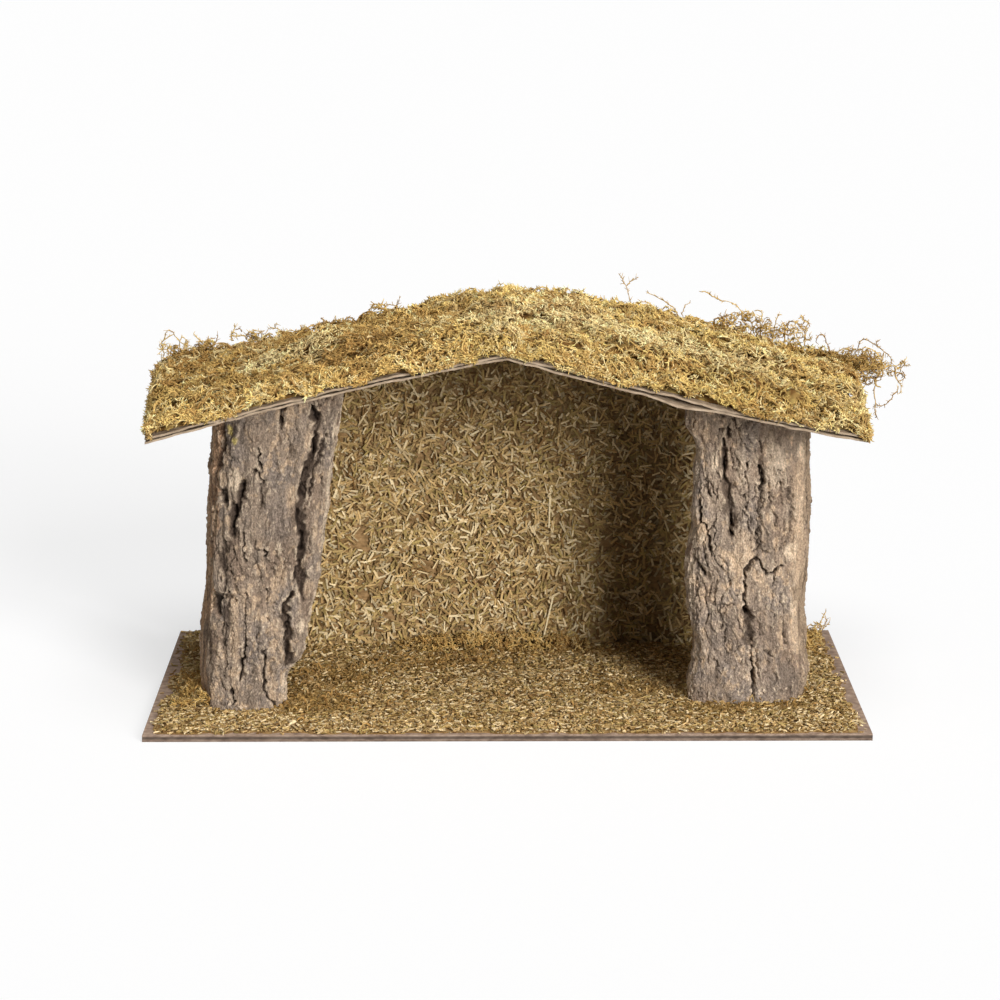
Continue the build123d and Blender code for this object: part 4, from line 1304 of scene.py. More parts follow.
def add_strands(heap, rng, paths, size, tints, roots, band, shades):
    """Put strands into a heap: knotty, thinner to the tip, darkened to red-brown toward the root as painted
    shade, some of varied shades.
    """
    count, steps, _ = paths.shape
    radius, taper = size
    colour, weight = roots
    share = np.linspace(0, 1, steps)
    thick = radius * rng.uniform(*RADIUS_SHARES, (count, 1)) * (1 - taper * share ** 2)
    points, faces = strands(paths, thick * np.resize(KNOT_SHARES, steps))
    if shades:
        tints = tints * rng.uniform(*shades, (count, 1))
    # Painted shade: each strand fades to the dark red-brown root colour toward its root
    rooted = (weight * (1 - share) ** ROOT_SHADE_FADE)[None, :, None]
    along = tints[:, None, :] * (1 - rooted) + np.array(colour) * rooted
    colours = np.repeat(along.reshape(-1, 3), STRAND_SIDES, axis=0)
    heap.add(points, faces, colours, sheet_cells(count, STRAND_SIDES, steps, *band))


def add_moss(heap, rng, stems, tints, moss, twig_count):
    """Stems and their side shoots, put into a heap."""
    size = (moss.stem_radius / MM, STEM_TAPER_SHARE)
    add_strands(heap, rng, stems, size, tints, (moss.root_shade_colour, moss.root_shade_share), STEM_BAND, None)
    shoots, parent = twig_paths(rng, stems, twig_count, moss.twig_length / MM, None)
    size = (moss.twig_radius / MM, TWIG_TAPER_SHARE)
    roots = (moss.root_shade_colour, moss.root_shade_share / 2)
    add_strands(heap, rng, shoots, size, tints[parent], roots, TWIG_BAND, SHOOT_SHADES)


def add_mat(heap, node, surface, moss):
    """The matted depths of a tuft under its strands, thin at the roof's front edge and eaves."""
    low, high = box_mm(node)
    _, fall, _, ridge_top = roof_line()
    side = np.sign(low[0] + high[0])
    near = min(abs(low[0]), abs(high[0]))
    far = max(abs(low[0]), abs(high[0]))
    front = surface.low[1] + MAT_INSET
    columns = int((far - near) / MAT_CELL) + 1
    rows = int((high[1] - low[1]) / MAT_CELL) + 1
    share, y = np.meshgrid(np.linspace(0, 1, columns), np.linspace(max(low[1], front), high[1], rows))
    eave = moss_edge(y) - MAT_INSET
    reach = eave if "lower" in node else np.full(y.shape, far)
    x = side * (near + (reach - near) * share)
    if side < 0:
        x = x[:, ::-1]
    flat = on_plan(x.ravel(), y.ravel())
    settled = roof_settle(x, y)
    board = ridge_top - fall * np.abs(x) + settled
    relief = MAT_ROUGHNESS * grained(flat, MAT_GRAIN, MOSS_SEED).reshape(x.shape)
    top = surface.at(x, y) + settled - MAT_DROP + relief
    rim = np.minimum(y - front, eave - np.abs(x))
    top = np.minimum(top, board + MAT_RIM_RISE + MAT_RIM_SLOPE * rim)
    top = np.maximum(top, board + MAT_RIM_RISE)
    usual, swing = MAT_SHADE_SHARES
    shade = usual + swing * grained(flat, MAT_SHADE_GRAIN, MOSS_SEED)
    tints = blend(painted(moss.shadow_colour, len(flat)), moss.root_shade_colour, shade)
    olive = cover(grained(flat, MAT_OLIVE_GRAIN, MOSS_SEED), MAT_OLIVE_COVER)
    tints = blend(tints, moss.olive_colour, olive)
    tints = blend(tints, moss.shadow_colour, pit_share(flat[:, 0], flat[:, 1]))
    add_slab(heap, x, y, top, board + BARK_TOP_GAP, tints, MAT_BAND)


class STABLE_OT_roof_moss(bpy.types.Operator):
    """Build the eight tufts of moss on the roof"""

    bl_idname = "stable.roof_moss"
    bl_label = "Roof moss"

    def execute(self, context):
        moss = context.scene.stable_moss
        material = tinted_material("dried moss")
        surface = TopOf(ROOF_MOSS_NODES, MOSS_GRID_STEP, LUMP_HEIGHT, PIT_DEPTH)
        back_edge = moss_edge(surface.high[1])
        front = surface.low[1] + FRONT_RIM_DEPTHS[0]
        room = ((-back_edge, front), (back_edge, surface.high[1] + BACK_SPILL))
        for number, node in enumerate(ROOF_MOSS_NODES):
            rng = np.random.default_rng(MOSS_SEED + ROOF_SEED_STEP + number)
            x, y, clump = self.places(rng, node, moss.stem_count)
            heading, lift = strand_flow(rng, x, y, clump)
            self.rims(rng, node, x, y, lift)
            stems = stem_paths(rng, x, y, (heading, lift), surface.at, moss.stem_length / MM, room)
            self.rest_on_board(rng, stems)
            heap = Heap()
            add_moss(heap, rng, stems, moss_tints(rng, x, y, moss), moss, moss.twig_count)
            add_mat(heap, node, surface, moss)
            settle(heap.piece(node + "_strands", material, True), [node])
        return {"FINISHED"}

    def places(self, rng, node, count):
        """Where the strands of a tuft are rooted, gathered in clumps."""
        low, high = box_mm(node)
        side_count = math.ceil(math.sqrt(count / CLUMP_STRAND_COUNT))
        clump = np.arange(count) % side_count ** 2
        stray = rng.random((side_count ** 2, 2))
        cell = np.stack([clump % side_count, clump // side_count], axis=1) + stray[clump]
        place = low[:2] + (high - low)[:2] * cell / side_count + rng.normal(0, CLUMP_SPREAD, (count, 2))
        place = np.clip(place, low[:2], high[:2])
        return place[:, 0], place[:, 1], clump

    def rims(self, rng, node, x, y, lift):
        """Move some strands to the roof's front edge and eaves, spread down the tuft's side there."""
        low, high = box_mm(node)
        chance = rng.random(len(x))
        front = np.flatnonzero(chance < FRONT_RIM_SHARE * node.endswith("front"))
        y[front] = low[1] + rng.uniform(*FRONT_RIM_DEPTHS, len(front))
        x[front] = rng.uniform(low[0], high[0], len(front))
        lift[front] = rng.uniform(*FRONT_RIM_SINKS, len(front))
        eave = np.flatnonzero(chance > 1 - EAVE_RIM_SHARE * ("lower" in node))
        side = np.sign(low[0] + high[0])
        x[eave] = side * (moss_edge(y[eave]) + rng.uniform(*EAVE_RIM_DEPTHS, len(eave)))
        lift[eave] = rng.uniform(*EAVE_RIM_SINKS, len(eave))

    def rest_on_board(self, rng, stems):
        """Keep the stems above the roof board, ragged at the eaves, and let them follow the board's bow."""
        half_span, fall, _, ridge_top = roof_line()
        edge = moss_edge(stems[:, :, 1]) + rng.normal(0, EAVE_RAGGED, (len(stems), 1))
        x = np.clip(stems[:, :, 0], -edge, edge)
        board = ridge_top - fall * np.abs(x)
        least = np.where(np.abs(x) < half_span, board + BOARD_CLEARANCE, board - EAVE_DROOP)
        stems[:, :, 0] = x
        stems[:, :, 2] = np.maximum(stems[:, :, 2], least) + roof_settle(x, stems[:, :, 1])


class STABLE_OT_floor_moss(bpy.types.Operator):
    """Build the heaps of moss on the floor"""

    bl_idname = "stable.floor_moss"
    bl_label = "Floor moss"

    def execute(self, context):
        moss = context.scene.stable_moss
        material = bpy.data.materials["dried moss"]
        for number, node in enumerate(FLOOR_MOSS_NODES):
            rng = np.random.default_rng(MOSS_SEED + FLOOR_SEED_STEP + number)
            surface = TopOf([node], HEAP_GRID_STEP, HEAP_LUMP_HEIGHT, HEAP_PIT_DEPTH)
            low, high = box_mm(node)
            area = (high[0] - low[0]) * (high[1] - low[1])
            count = int(area * moss.heap_density)
            x = rng.uniform(low[0], high[0], count)
            y = rng.uniform(low[1], high[1], count)
            flow = strand_flow(rng, x, y, np.arange(count) // HEAP_CLUMP_STRAND_COUNT)
            length = HEAP_STEM_SHARE * moss.stem_length / MM
            room = (low - HEAP_SPILLS[0], high + HEAP_SPILLS[1])
            stems = stem_paths(rng, x, y, flow, surface.at, length, room)
            stems[:, :, 2] = np.maximum(stems[:, :, 2], low[2])
            tints = blend(moss_tints(rng, x, y, moss), moss.brown_colour, np.full(count, HEAP_BROWN_SHARE))
            heap = Heap()
            add_moss(heap, rng, stems, tints, moss, HEAP_TWIG_COUNT * count)
            settle(heap.piece(node + "_strands", material, True), [node])
        return {"FINISHED"}


class StableMoss(bpy.types.PropertyGroup):
    """Sizes and colours of the dried moss."""

    stem_length: length_setting("Stem length", "Usual length of a moss stem", 0.0092)
    stem_radius: length_setting("Stem radius", "Half the thickness of a moss stem", 0.00044)
    twig_length: length_setting("Shoot length", "Usual length of a side shoot", 0.0015)
    twig_radius: length_setting("Shoot radius", "Half the thickness of a side shoot", 0.00037)
    wire_radius: length_setting("Wire radius", "Half the thickness of a sprig's wires", 0.00030)
    stem_count: count_setting("Stems", "Stems in one roof tuft", 1150)
    twig_count: count_setting("Shoots", "Side shoots in one roof tuft", 16000)
    crumb_count: count_setting("Crumbs", "Crumbs of moss on one band of the floor", 2200)
    crumb_length: length_setting("Crumb length", "Usual length of a crumb of moss on the floor", 0.0042)
    heap_density: number_setting("Heap density", "Stems on a square millimetre of floor heap", 0.4)
    # How far the painted root shade reaches up a stem
    root_shade_share: number_setting("Root share", "How far a stem's root takes the root colour", 0.75)
    gold_colour: colour_setting("Gold", "Usual colour of the moss", (0.85, 0.62, 0.225))
    olive_colour: colour_setting("Olive", "Greener patches", (0.62, 0.46, 0.15))
    pale_colour: colour_setting("Pale", "Bleached strands", (1.0, 0.85, 0.46))
    amber_colour: colour_setting("Amber", "Redder moss of the left slope", (0.64, 0.41, 0.13))
    brown_colour: colour_setting("Brown", "Withered strands", (0.38, 0.21, 0.065))
    # Painted shade of the moss's depths: strands darken to this toward their roots, and the mat takes it
    # too
    root_shade_colour: colour_setting("Roots", "Red-brown roots of the strands", (0.28, 0.14, 0.04))
    shadow_colour: colour_setting("Depths", "Matted depths of the moss", (0.10, 0.05, 0.015))


# Sprigs that stand out of the moss, as picked on views of the photo: the depth of each wire and its line
# from the root up, then wires that branch off others, then tangles of small curls as a depth, two corners
# and a count
LEFT_WIRES = (
    (70.0, ((130, 380), (150, 350), (190, 340), (200, 320), (215, 350), (240, 380), (280, 390),
     (285, 420))),
    (72.0, ((240, 400), (235, 370), (250, 345), (275, 350), (280, 375), (262, 390))),
    (72.0, ((385, 385), (350, 350), (320, 325))), (74.0, ((440, 390), (460, 370), (470, 330))),
    (76.0, ((640, 330), (590, 340), (545, 330), (575, 300), (570, 260))),
    (78.0, ((640, 330), (690, 335), (720, 320), (745, 330))),
    (78.0, ((870, 330), (845, 300), (815, 290), (780, 290), (760, 320))),
    (80.0, ((1550, 160), (1530, 150), (1490, 150), (1470, 170))), (80.0, ((1550, 160), (1565, 110))),
    (78.0, ((950, 320), (930, 300), (900, 305))),
)
LEFT_BRANCHES = (
    (72.0, ((200, 320), (180, 305), (155, 315), (150, 350))), (76.0, ((575, 300), (600, 290), (620, 305))),
    (78.0, ((815, 290), (810, 270), (825, 262))),
)
LEFT_TANGLES = (
    (77.0, (1060, 250), (1250, 310), 16), (70.0, (120, 380), (300, 450), 22),
    (76.0, (560, 330), (760, 370), 16), (72.0, (330, 370), (480, 420), 10),
)
RIGHT_WIRES = (
    (76.0, ((-52, 160), (-60, 110), (-81, 35), (-122, -35))),
    (75.0, ((215, 185), (190, 155), (150, 125), (110, 100), (45, 75))),
    (75.0, ((245, 175), (265, 140), (295, 130))),
    (75.0, ((660, 280), (640, 235), (610, 205), (580, 165), (545, 135), (515, 120), (475, 120))),
    (70.0, ((700, 310), (710, 240), (730, 215), (755, 210), (750, 240), (730, 260))),
    (70.0, ((770, 330), (790, 250), (800, 210), (830, 205))),
    (70.0, ((840, 340), (850, 250), (885, 235), (920, 260), (960, 300), (965, 340), (950, 355))),
    (70.0, ((955, 350), (960, 290), (970, 260), (985, 245), (945, 240), (940, 205))),
    (65.0, ((1130, 460), (1100, 400), (1080, 350), (1065, 310), (1025, 320), (1020, 360))),
    (50.0, ((1120, 460), (1130, 430), (1170, 395), (1220, 390), (1260, 410), (1290, 400), (1320, 420),
     (1300, 460), (1260, 470))),
    (45.0, ((1250, 540), (1290, 520), (1330, 500), (1370, 480), (1400, 490), (1395, 450), (1375, 420),
     (1340, 400), (1300, 390))),
    (40.0, ((1300, 560), (1330, 570), (1360, 560), (1370, 600), (1355, 650), (1370, 700), (1365, 760),
     (1375, 800))),
    (46.0, ((1280, 520), (1310, 480), (1350, 470), (1380, 500), (1400, 515))),
)
RIGHT_BRANCHES = (
    (76.0, ((-81, 35), (-60, 10), (-12, -19))), (75.0, ((475, 120), (420, 95), (385, 65), (350, 65))),
    (75.0, ((610, 205), (640, 190), (665, 200))),
    (48.0, ((1260, 410), (1270, 380), (1270, 350), (1295, 340), (1340, 355), (1380, 390), (1420, 410),
     (1450, 440), (1470, 470), (1460, 500), (1430, 520), (1400, 515))),
    (46.0, ((1400, 515), (1440, 495), (1480, 500), (1530, 480), (1555, 450))),
    (46.0, ((1480, 500), (1480, 550), (1500, 590), (1520, 620), (1510, 660), (1495, 665), (1490, 640),
     (1500, 610))),
    (44.0, ((1490, 640), (1475, 650), (1450, 690), (1420, 720), (1395, 735), (1370, 720))),
    (46.0, ((1530, 480), (1545, 500), (1560, 495))), (48.0, ((1380, 390), (1370, 360), (1390, 350))),
)
RIGHT_TANGLES = (
    (73.0, (450, 200), (700, 320), 70), (70.0, (690, 240), (980, 340), 44),
    (58.0, (1130, 420), (1330, 520), 70), (48.0, (1200, 430), (1400, 600), 80),
    (44.0, (1370, 480), (1520, 560), 12),
)
REAR_WIRES = (
    (62.0, ((690, 1160), (690, 1140), (720, 1110), (740, 1080), (765, 1025))),
    (62.0, ((690, 1180), (735, 1130), (780, 1090))), (60.0, ((700, 1180), (690, 1140), (665, 1110))),
)
REAR_BRANCHES = (
    (62.0, ((720, 1110), (755, 1105), (770, 1070))),
)
REAR_TANGLES = (
    (58.0, (670, 1110), (740, 1180), 14),
)
SPRIGS = {
    "left_corner_sprigs": {
        "view": LEFT_ROOF_VIEW, "rooted": LEFT_WIRES, "branches": LEFT_BRANCHES, "tangles": LEFT_TANGLES,
    },
    "right_corner_sprigs": {
        "view": RIGHT_ROOF_VIEW, "rooted": RIGHT_WIRES, "branches": RIGHT_BRANCHES,
        "tangles": RIGHT_TANGLES,
    },
    "right_rear_moss": {
        "view": RIGHT_POST_VIEW, "rooted": REAR_WIRES, "branches": REAR_BRANCHES, "tangles": REAR_TANGLES,
    },
}
WIRE_STEP_COUNT = 15
WIRE_SWAY = 3.0
WIRE_SWAY_LENGTH = 9.0
WIRE_JITTER = 0.16
ROOT_DEPTH = 3.0
CURL_RADII = (1.2, 3.4)
CURL_SWEEPS = (2.2, 6.0)
CURL_TILT = 0.45
CURL_DEPTH = 4.0
CURL_OPENING_SHARE = 0.5
LEAFLET_SPACING = 0.75
LEAFLET_RADIUS_SHARE = 0.75
LEAFLET_SHADES = (0.9, 1.25)
LEAFLET_ROOT_SHADE_SHARE = 0.25
WIRE_BROWN_SHARES = (0.1, 0.9)
WIRE_TAPER_SHARE = 0.4
WIRE_ROOT_SHADE_SHARE = 0.5
WIRE_BAND = (0.0, 0.4)
LEAFLET_BAND = (0.4, 1.0)


def wire_path(rng, view, depth, spots, rooted):
    """One picked wire, evenly stepped, swayed to and fro, with its root sunk in the moss."""
    corners = seen_at(view, spots, depth)
    if rooted:
        corners = np.concatenate([corners[:1] - ROOT_DEPTH * UP, corners])
    runs = np.linalg.norm(np.diff(corners, axis=0), axis=1)
    reached = np.concatenate([[0], np.cumsum(runs)])
    even = np.linspace(0, reached[-1], WIRE_STEP_COUNT)
    path = np.stack([np.interp(even, reached, corners[:, axis]) for axis in range(3)], axis=1)
    path[1:-1] = (path[:-2] + 2 * path[1:-1] + path[2:]) / 4
    path[:, 1] += WIRE_SWAY * noise(path, WIRE_SWAY_LENGTH, SPRIG_SEED)
    return path + rng.normal(0, WIRE_JITTER, path.shape)


def curl_paths(rng, view, tangle):
    """Small curls, each an opening arc, strewn through a box on the view."""
    depth, low, high, count = tangle
    spots = rng.uniform(low, high, (count, 2))
    middles = seen_at(view, spots, depth + rng.normal(0, CURL_DEPTH, count))
    sideways = rng.normal(0, CURL_TILT, count)
    upward = rng.normal(0, CURL_TILT, count)
    facing = unit(np.stack([sideways, np.ones(count), upward], axis=1))
    right = unit(np.cross(facing, UP))
    above = np.cross(right, facing)
    share = np.linspace(0, 1, WIRE_STEP_COUNT)
    start = rng.uniform(0, 2 * math.pi, (count, 1))
    angle = start + rng.choice((-1, 1), (count, 1)) * rng.uniform(*CURL_SWEEPS, (count, 1)) * share
    radius = rng.uniform(*CURL_RADII, (count, 1)) * (1 - CURL_OPENING_SHARE * share)
    across = (radius * np.cos(angle))[:, :, None] * right[:, None, :]
    up = (radius * np.sin(angle))[:, :, None] * above[:, None, :]
    return middles[:, None, :] + across + up + rng.normal(0, WIRE_JITTER, (count, WIRE_STEP_COUNT, 3))


class STABLE_OT_moss_sprigs(bpy.types.Operator):
    """Build the wiry sprigs along the roof's rear edge and behind the right post"""

    bl_idname = "stable.moss_sprigs"
    bl_label = "Moss sprigs"

    def execute(self, context):
        moss = context.scene.stable_moss
        material = bpy.data.materials["dried moss"]
        for number, (node, sprigs) in enumerate(SPRIGS.items()):
            rng = np.random.default_rng(SPRIG_SEED + number)
            view = sprigs["view"]
            picked = [wire_path(rng, view, depth, spots, True) for depth, spots in sprigs["rooted"]]
            picked += [wire_path(rng, view, depth, spots, False) for depth, spots in sprigs["branches"]]
            curls = [curl_paths(rng, view, tangle) for tangle in sprigs["tangles"]]
            wires = np.concatenate([np.array(picked)] + curls)
            heap = Heap()
            self.wire_up(heap, rng, wires, moss)
            settle(heap.piece(node + "_wires", material, True), [node])
        return {"FINISHED"}

    def wire_up(self, heap, rng, wires, moss):
        """The wires and their leaflets, put into a heap."""
        count = len(wires)
        lengths = np.linalg.norm(np.diff(wires, axis=1), axis=2).sum(axis=1)
        brown = rng.uniform(*WIRE_BROWN_SHARES, count)
        tints = blend(painted(moss.gold_colour, count), moss.brown_colour, brown)
        size = (moss.wire_radius / MM, WIRE_TAPER_SHARE)
        add_strands(heap, rng, wires, size, tints, (moss.root_shade_colour, WIRE_ROOT_SHADE_SHARE), WIRE_BAND, None)
        total = lengths.sum()
        count = int(total / LEAFLET_SPACING)
        leaflets, parent = twig_paths(rng, wires, count, moss.twig_length / MM, lengths / total)
        size = (LEAFLET_RADIUS_SHARE * moss.wire_radius / MM, TWIG_TAPER_SHARE)
        roots = (moss.root_shade_colour, LEAFLET_ROOT_SHADE_SHARE)
        add_strands(heap, rng, leaflets, size, tints[parent], roots, LEAFLET_BAND, LEAFLET_SHADES)


# Straw on the wall and chaff on the floor

# Chips of other colours, each as the chances between which it falls; then spreads around the usual sizes
CHIP_CHANCES = {"pale": (0.0, 0.3), "olive": (0.5, 0.75), "brown": (0.82, 1.0)}
CHIP_COLOUR_SHARES = (0.3, 1.0)
CHIP_SHADES = (0.8, 1.15)
CHIP_SIZE_SHARES = ((0.4, 1.5), (0.6, 1.35), (0.6, 1.3))
CHIP_LANE_COUNT = 4
CHIP_END_COUNT = 2

# The wall: where it is bare, the middle and half size of each patch, then the ends of a few long stalks
BARE_PATCHES = (
    ((-75.6, 61.7), (3.4, 6.5)), ((-73.9, 31.8), (4.5, 2.6)), ((-95.0, 99.0), (2.4, 4.0)),
    ((-60.0, 20.0), (5.0, 2.4)),
)
BARE_GRAIN = (5.0, 3, 9)
BARE_RAGGED_SHARE = 0.4
BARE_LIMITS = (0.6, 1.3)
LONG_STALKS = (((23.5, 85.0), (23.0, 68.0)), ((25.3, 30.5), (20.6, 9.1)), ((-52.0, 150.0), (-45.0, 138.0)))
STALK_WIDTH = 0.9
STALK_THICK = 0.6
STALK_TAPER_SHARE = 0.8
WALL_HALVES = ("left", "right")
WALL_OUT = np.array((0.0, -1.0, 0.0))
WALL_TRIES_COUNT = 2
WALL_ROOF_GAP = 2.5
WALL_DEPTH_GAP = 0.3
WALL_LEAN = 0.06
WALL_ROLL = 0.28
WALL_DEPTH_SHADE = (0.5, 0.5)
WALL_TAPER_SHARES = (0.8, 1.0)
THIN_GRAIN = (13.0, 3, 7)
THIN_LIMITS = (-1.5, -0.4)

# The floor: how the chaff thins out to the base's edges, how it lies, and its mossy spots
LITTER_CELL = 1.5
LITTER_BANDS = ("front", "middle", "rear", "back")
LITTER_SPILL = 2.5
LITTER_SIDE_GAP = 1.5
LITTER_FRONT_SPILL = 2.0
LITTER_EDGE_RAGGED = 3.0
LITTER_EDGE_GRAIN = (11.0, 3, 0)
LITTER_EDGE_LIMITS = (-1.5, 3.0)
LITTER_LEAST_SHARE = 0.05
LITTER_LIFT = 0.3
LITTER_RISE = 1.5
LITTER_LEAN = 0.22
LITTER_ROLL = 0.5
LITTER_DEPTH_SHADE = (0.58, 0.5)
LITTER_TAPER_SHARES = (0.5, 1.0)
BIG_CHIP_SHARE = 0.03
BIG_CHIP_SCALES = np.array((2.0, 1.5, 1.2))
SPECK_CHANCES = (0.12, 0.75)
SPECK_COLOUR_SHARE = 0.85
FLOOR_MOSS_SPOTS = (
    ((-100.0, -38.0), (34.0, 26.0)), ((-130.0, 5.0), (20.0, 22.0)), ((10.0, 52.0), (70.0, 14.0)),
    ((112.0, -48.0), (40.0, 12.0)), ((-40.0, 25.0), (40.0, 16.0)), ((60.0, -20.0), (30.0, 16.0)),
    ((-88.0, 2.0), (30.0, 28.0)),
)
MOSSY_LIMITS = (0.3, 1.2)
MOSSY_RAGGED_SHARE = 0.45
MOSSY_GRAIN = (9.0, 3, 7)
CRUMB_LEVEL = 1.6
CRUMB_LEAST = 0.3
CRUMB_BROWN_SHARES = (0.3, 0.9)
CRUMB_TAPER_SHARE = 0.5
BED_DROP = 0.05
BED_THICK = 0.3
BED_RISES = (0.35, 0.25)
BED_GRAIN = (5.0, 3, 3)
BED_SHADE_GRAIN = (2.2, 1, 5)
BED_TAN_SHARE = 0.5
BED_SPECK_SHARE = 0.7


def chip_tints(rng, straw, depth, shades):
    """A colour for each chip of straw, with painted shade darkening those that lie deep."""
    count = len(depth)
    chance = rng.random(count)
    tints = painted(straw.tan_colour, count)
    for colour, (start, end) in CHIP_CHANCES.items():
        chosen = (chance >= start) & (chance < end)
        share = chosen * rng.uniform(*CHIP_COLOUR_SHARES, count)
        tints = blend(tints, getattr(straw, colour + "_colour"), share)
    # Painted shade: chips darken the deeper they lie under the others
    darkest, swing = shades
    return tints * rng.uniform(*CHIP_SHADES, (count, 1)) * (darkest + swing * depth)[:, None]


def add_chips(heap, middles, along, out, sizes, taper, tints):
    """Put a set of chips into a heap."""
    points, faces = chips(middles, along, out, sizes, taper)
    sheet = sheet_cells(len(middles), CHIP_LANE_COUNT, CHIP_END_COUNT, *WHOLE_SHEET)
    heap.add(points, faces, np.repeat(tints, len(CHIP_CORNERS), axis=0), sheet)


def tilted(rng, along, out, spread):
    """Directions out of each chip's face, rolled a little about its length."""
    roll = rng.normal(0, spread, len(along))
    aside = unit(np.cross(along, out))
    return unit(np.cross(aside, along)) * np.cos(roll)[:, None] + aside * np.sin(roll)[:, None]


def chip_sizes(rng, count, usual):
    """Lengths, widths and thicknesses of chips around their usual ones."""
    sizes = [size / MM * rng.uniform(*shares, count) for size, shares in zip(usual, CHIP_SIZE_SHARES)]
    return np.stack(sizes, axis=1)


class STABLE_OT_wall_straw(bpy.types.Operator):
    """Build the chopped straw on the back wall"""

    bl_idname = "stable.wall_straw"
    bl_label = "Wall straw"

    def execute(self, context):
        straw = context.scene.stable_straw
        material = tinted_material("straw")
        usual = (straw.chip_length, straw.chip_width, straw.chip_thick)
        low, high = box_mm("wall_straw")
        for number, half in enumerate(WALL_HALVES):
            rng = np.random.default_rng(STRAW_SEED + number)
            start, end = (low[0], 0.0) if number == 0 else (0.0, high[0])
            heap = Heap()
            x, z = self.places(rng, start, end, low, high, straw.chip_count)
            count = len(x)
            depth = rng.uniform(0.0, 1.0, count)
            y = high[1] - WALL_DEPTH_GAP - depth * (high[1] - low[1])
            turn = rng.uniform(0, math.pi, count)
            along = unit(np.stack([np.cos(turn), rng.normal(0, WALL_LEAN, count), np.sin(turn)], axis=1))
            out = tilted(rng, along, WALL_OUT, WALL_ROLL)
            sizes = chip_sizes(rng, count, usual)
            tints = chip_tints(rng, straw, depth, WALL_DEPTH_SHADE)
            taper = rng.uniform(*WALL_TAPER_SHARES, count)
            add_chips(heap, np.stack([x, y, z], axis=1), along, out, sizes, taper, tints)
            if number:
                self.stalks(heap, low, straw)
            settle(heap.piece("wall_straw_" + half, material, False), ["wall_straw"])
        return {"FINISHED"}

    def places(self, rng, start, end, low, high, count):
        """Where the chips lie on one half of the wall, clear of the roof and of the bare patches."""
        _, fall, ridge_under, _ = roof_line()
        tries = WALL_TRIES_COUNT * count
        x = rng.uniform(start, end, tries)
        z = rng.uniform(low[2], high[2], tries)
        free = z < ridge_under - fall * np.abs(x) - WALL_ROOF_GAP
        wall = on_plan(x, z)
        free &= rng.random(tries) < ramp(grained(wall, THIN_GRAIN, STRAW_SEED), *THIN_LIMITS)
        ragged = BARE_RAGGED_SHARE * grained(wall, BARE_GRAIN, STRAW_SEED)
        for middle, half in BARE_PATCHES:
            free &= rng.random(tries) < ramp(spot_reach(x, z, middle, half) + ragged, *BARE_LIMITS)
        return x[free][:count], z[free][:count]

    def stalks(self, heap, low, straw):
        """A few long stalks that stand out among the chips."""
        ends = np.array(LONG_STALKS)
        count = len(ends)
        middles = ends.mean(axis=1)
        run = ends[:, 1] - ends[:, 0]
        along = unit(np.stack([run[:, 0], np.zeros(count), run[:, 1]], axis=1))
        lengths = np.linalg.norm(run, axis=1)
        sizes = np.stack([lengths, np.full(count, STALK_WIDTH), np.full(count, STALK_THICK)], axis=1)
        places = np.stack([middles[:, 0], np.full(count, low[1] - STALK_THICK), middles[:, 1]], axis=1)
        add_chips(heap, places, along, painted(WALL_OUT, count), sizes, np.full(count, STALK_TAPER_SHARE),
                  painted(straw.pale_colour, count))


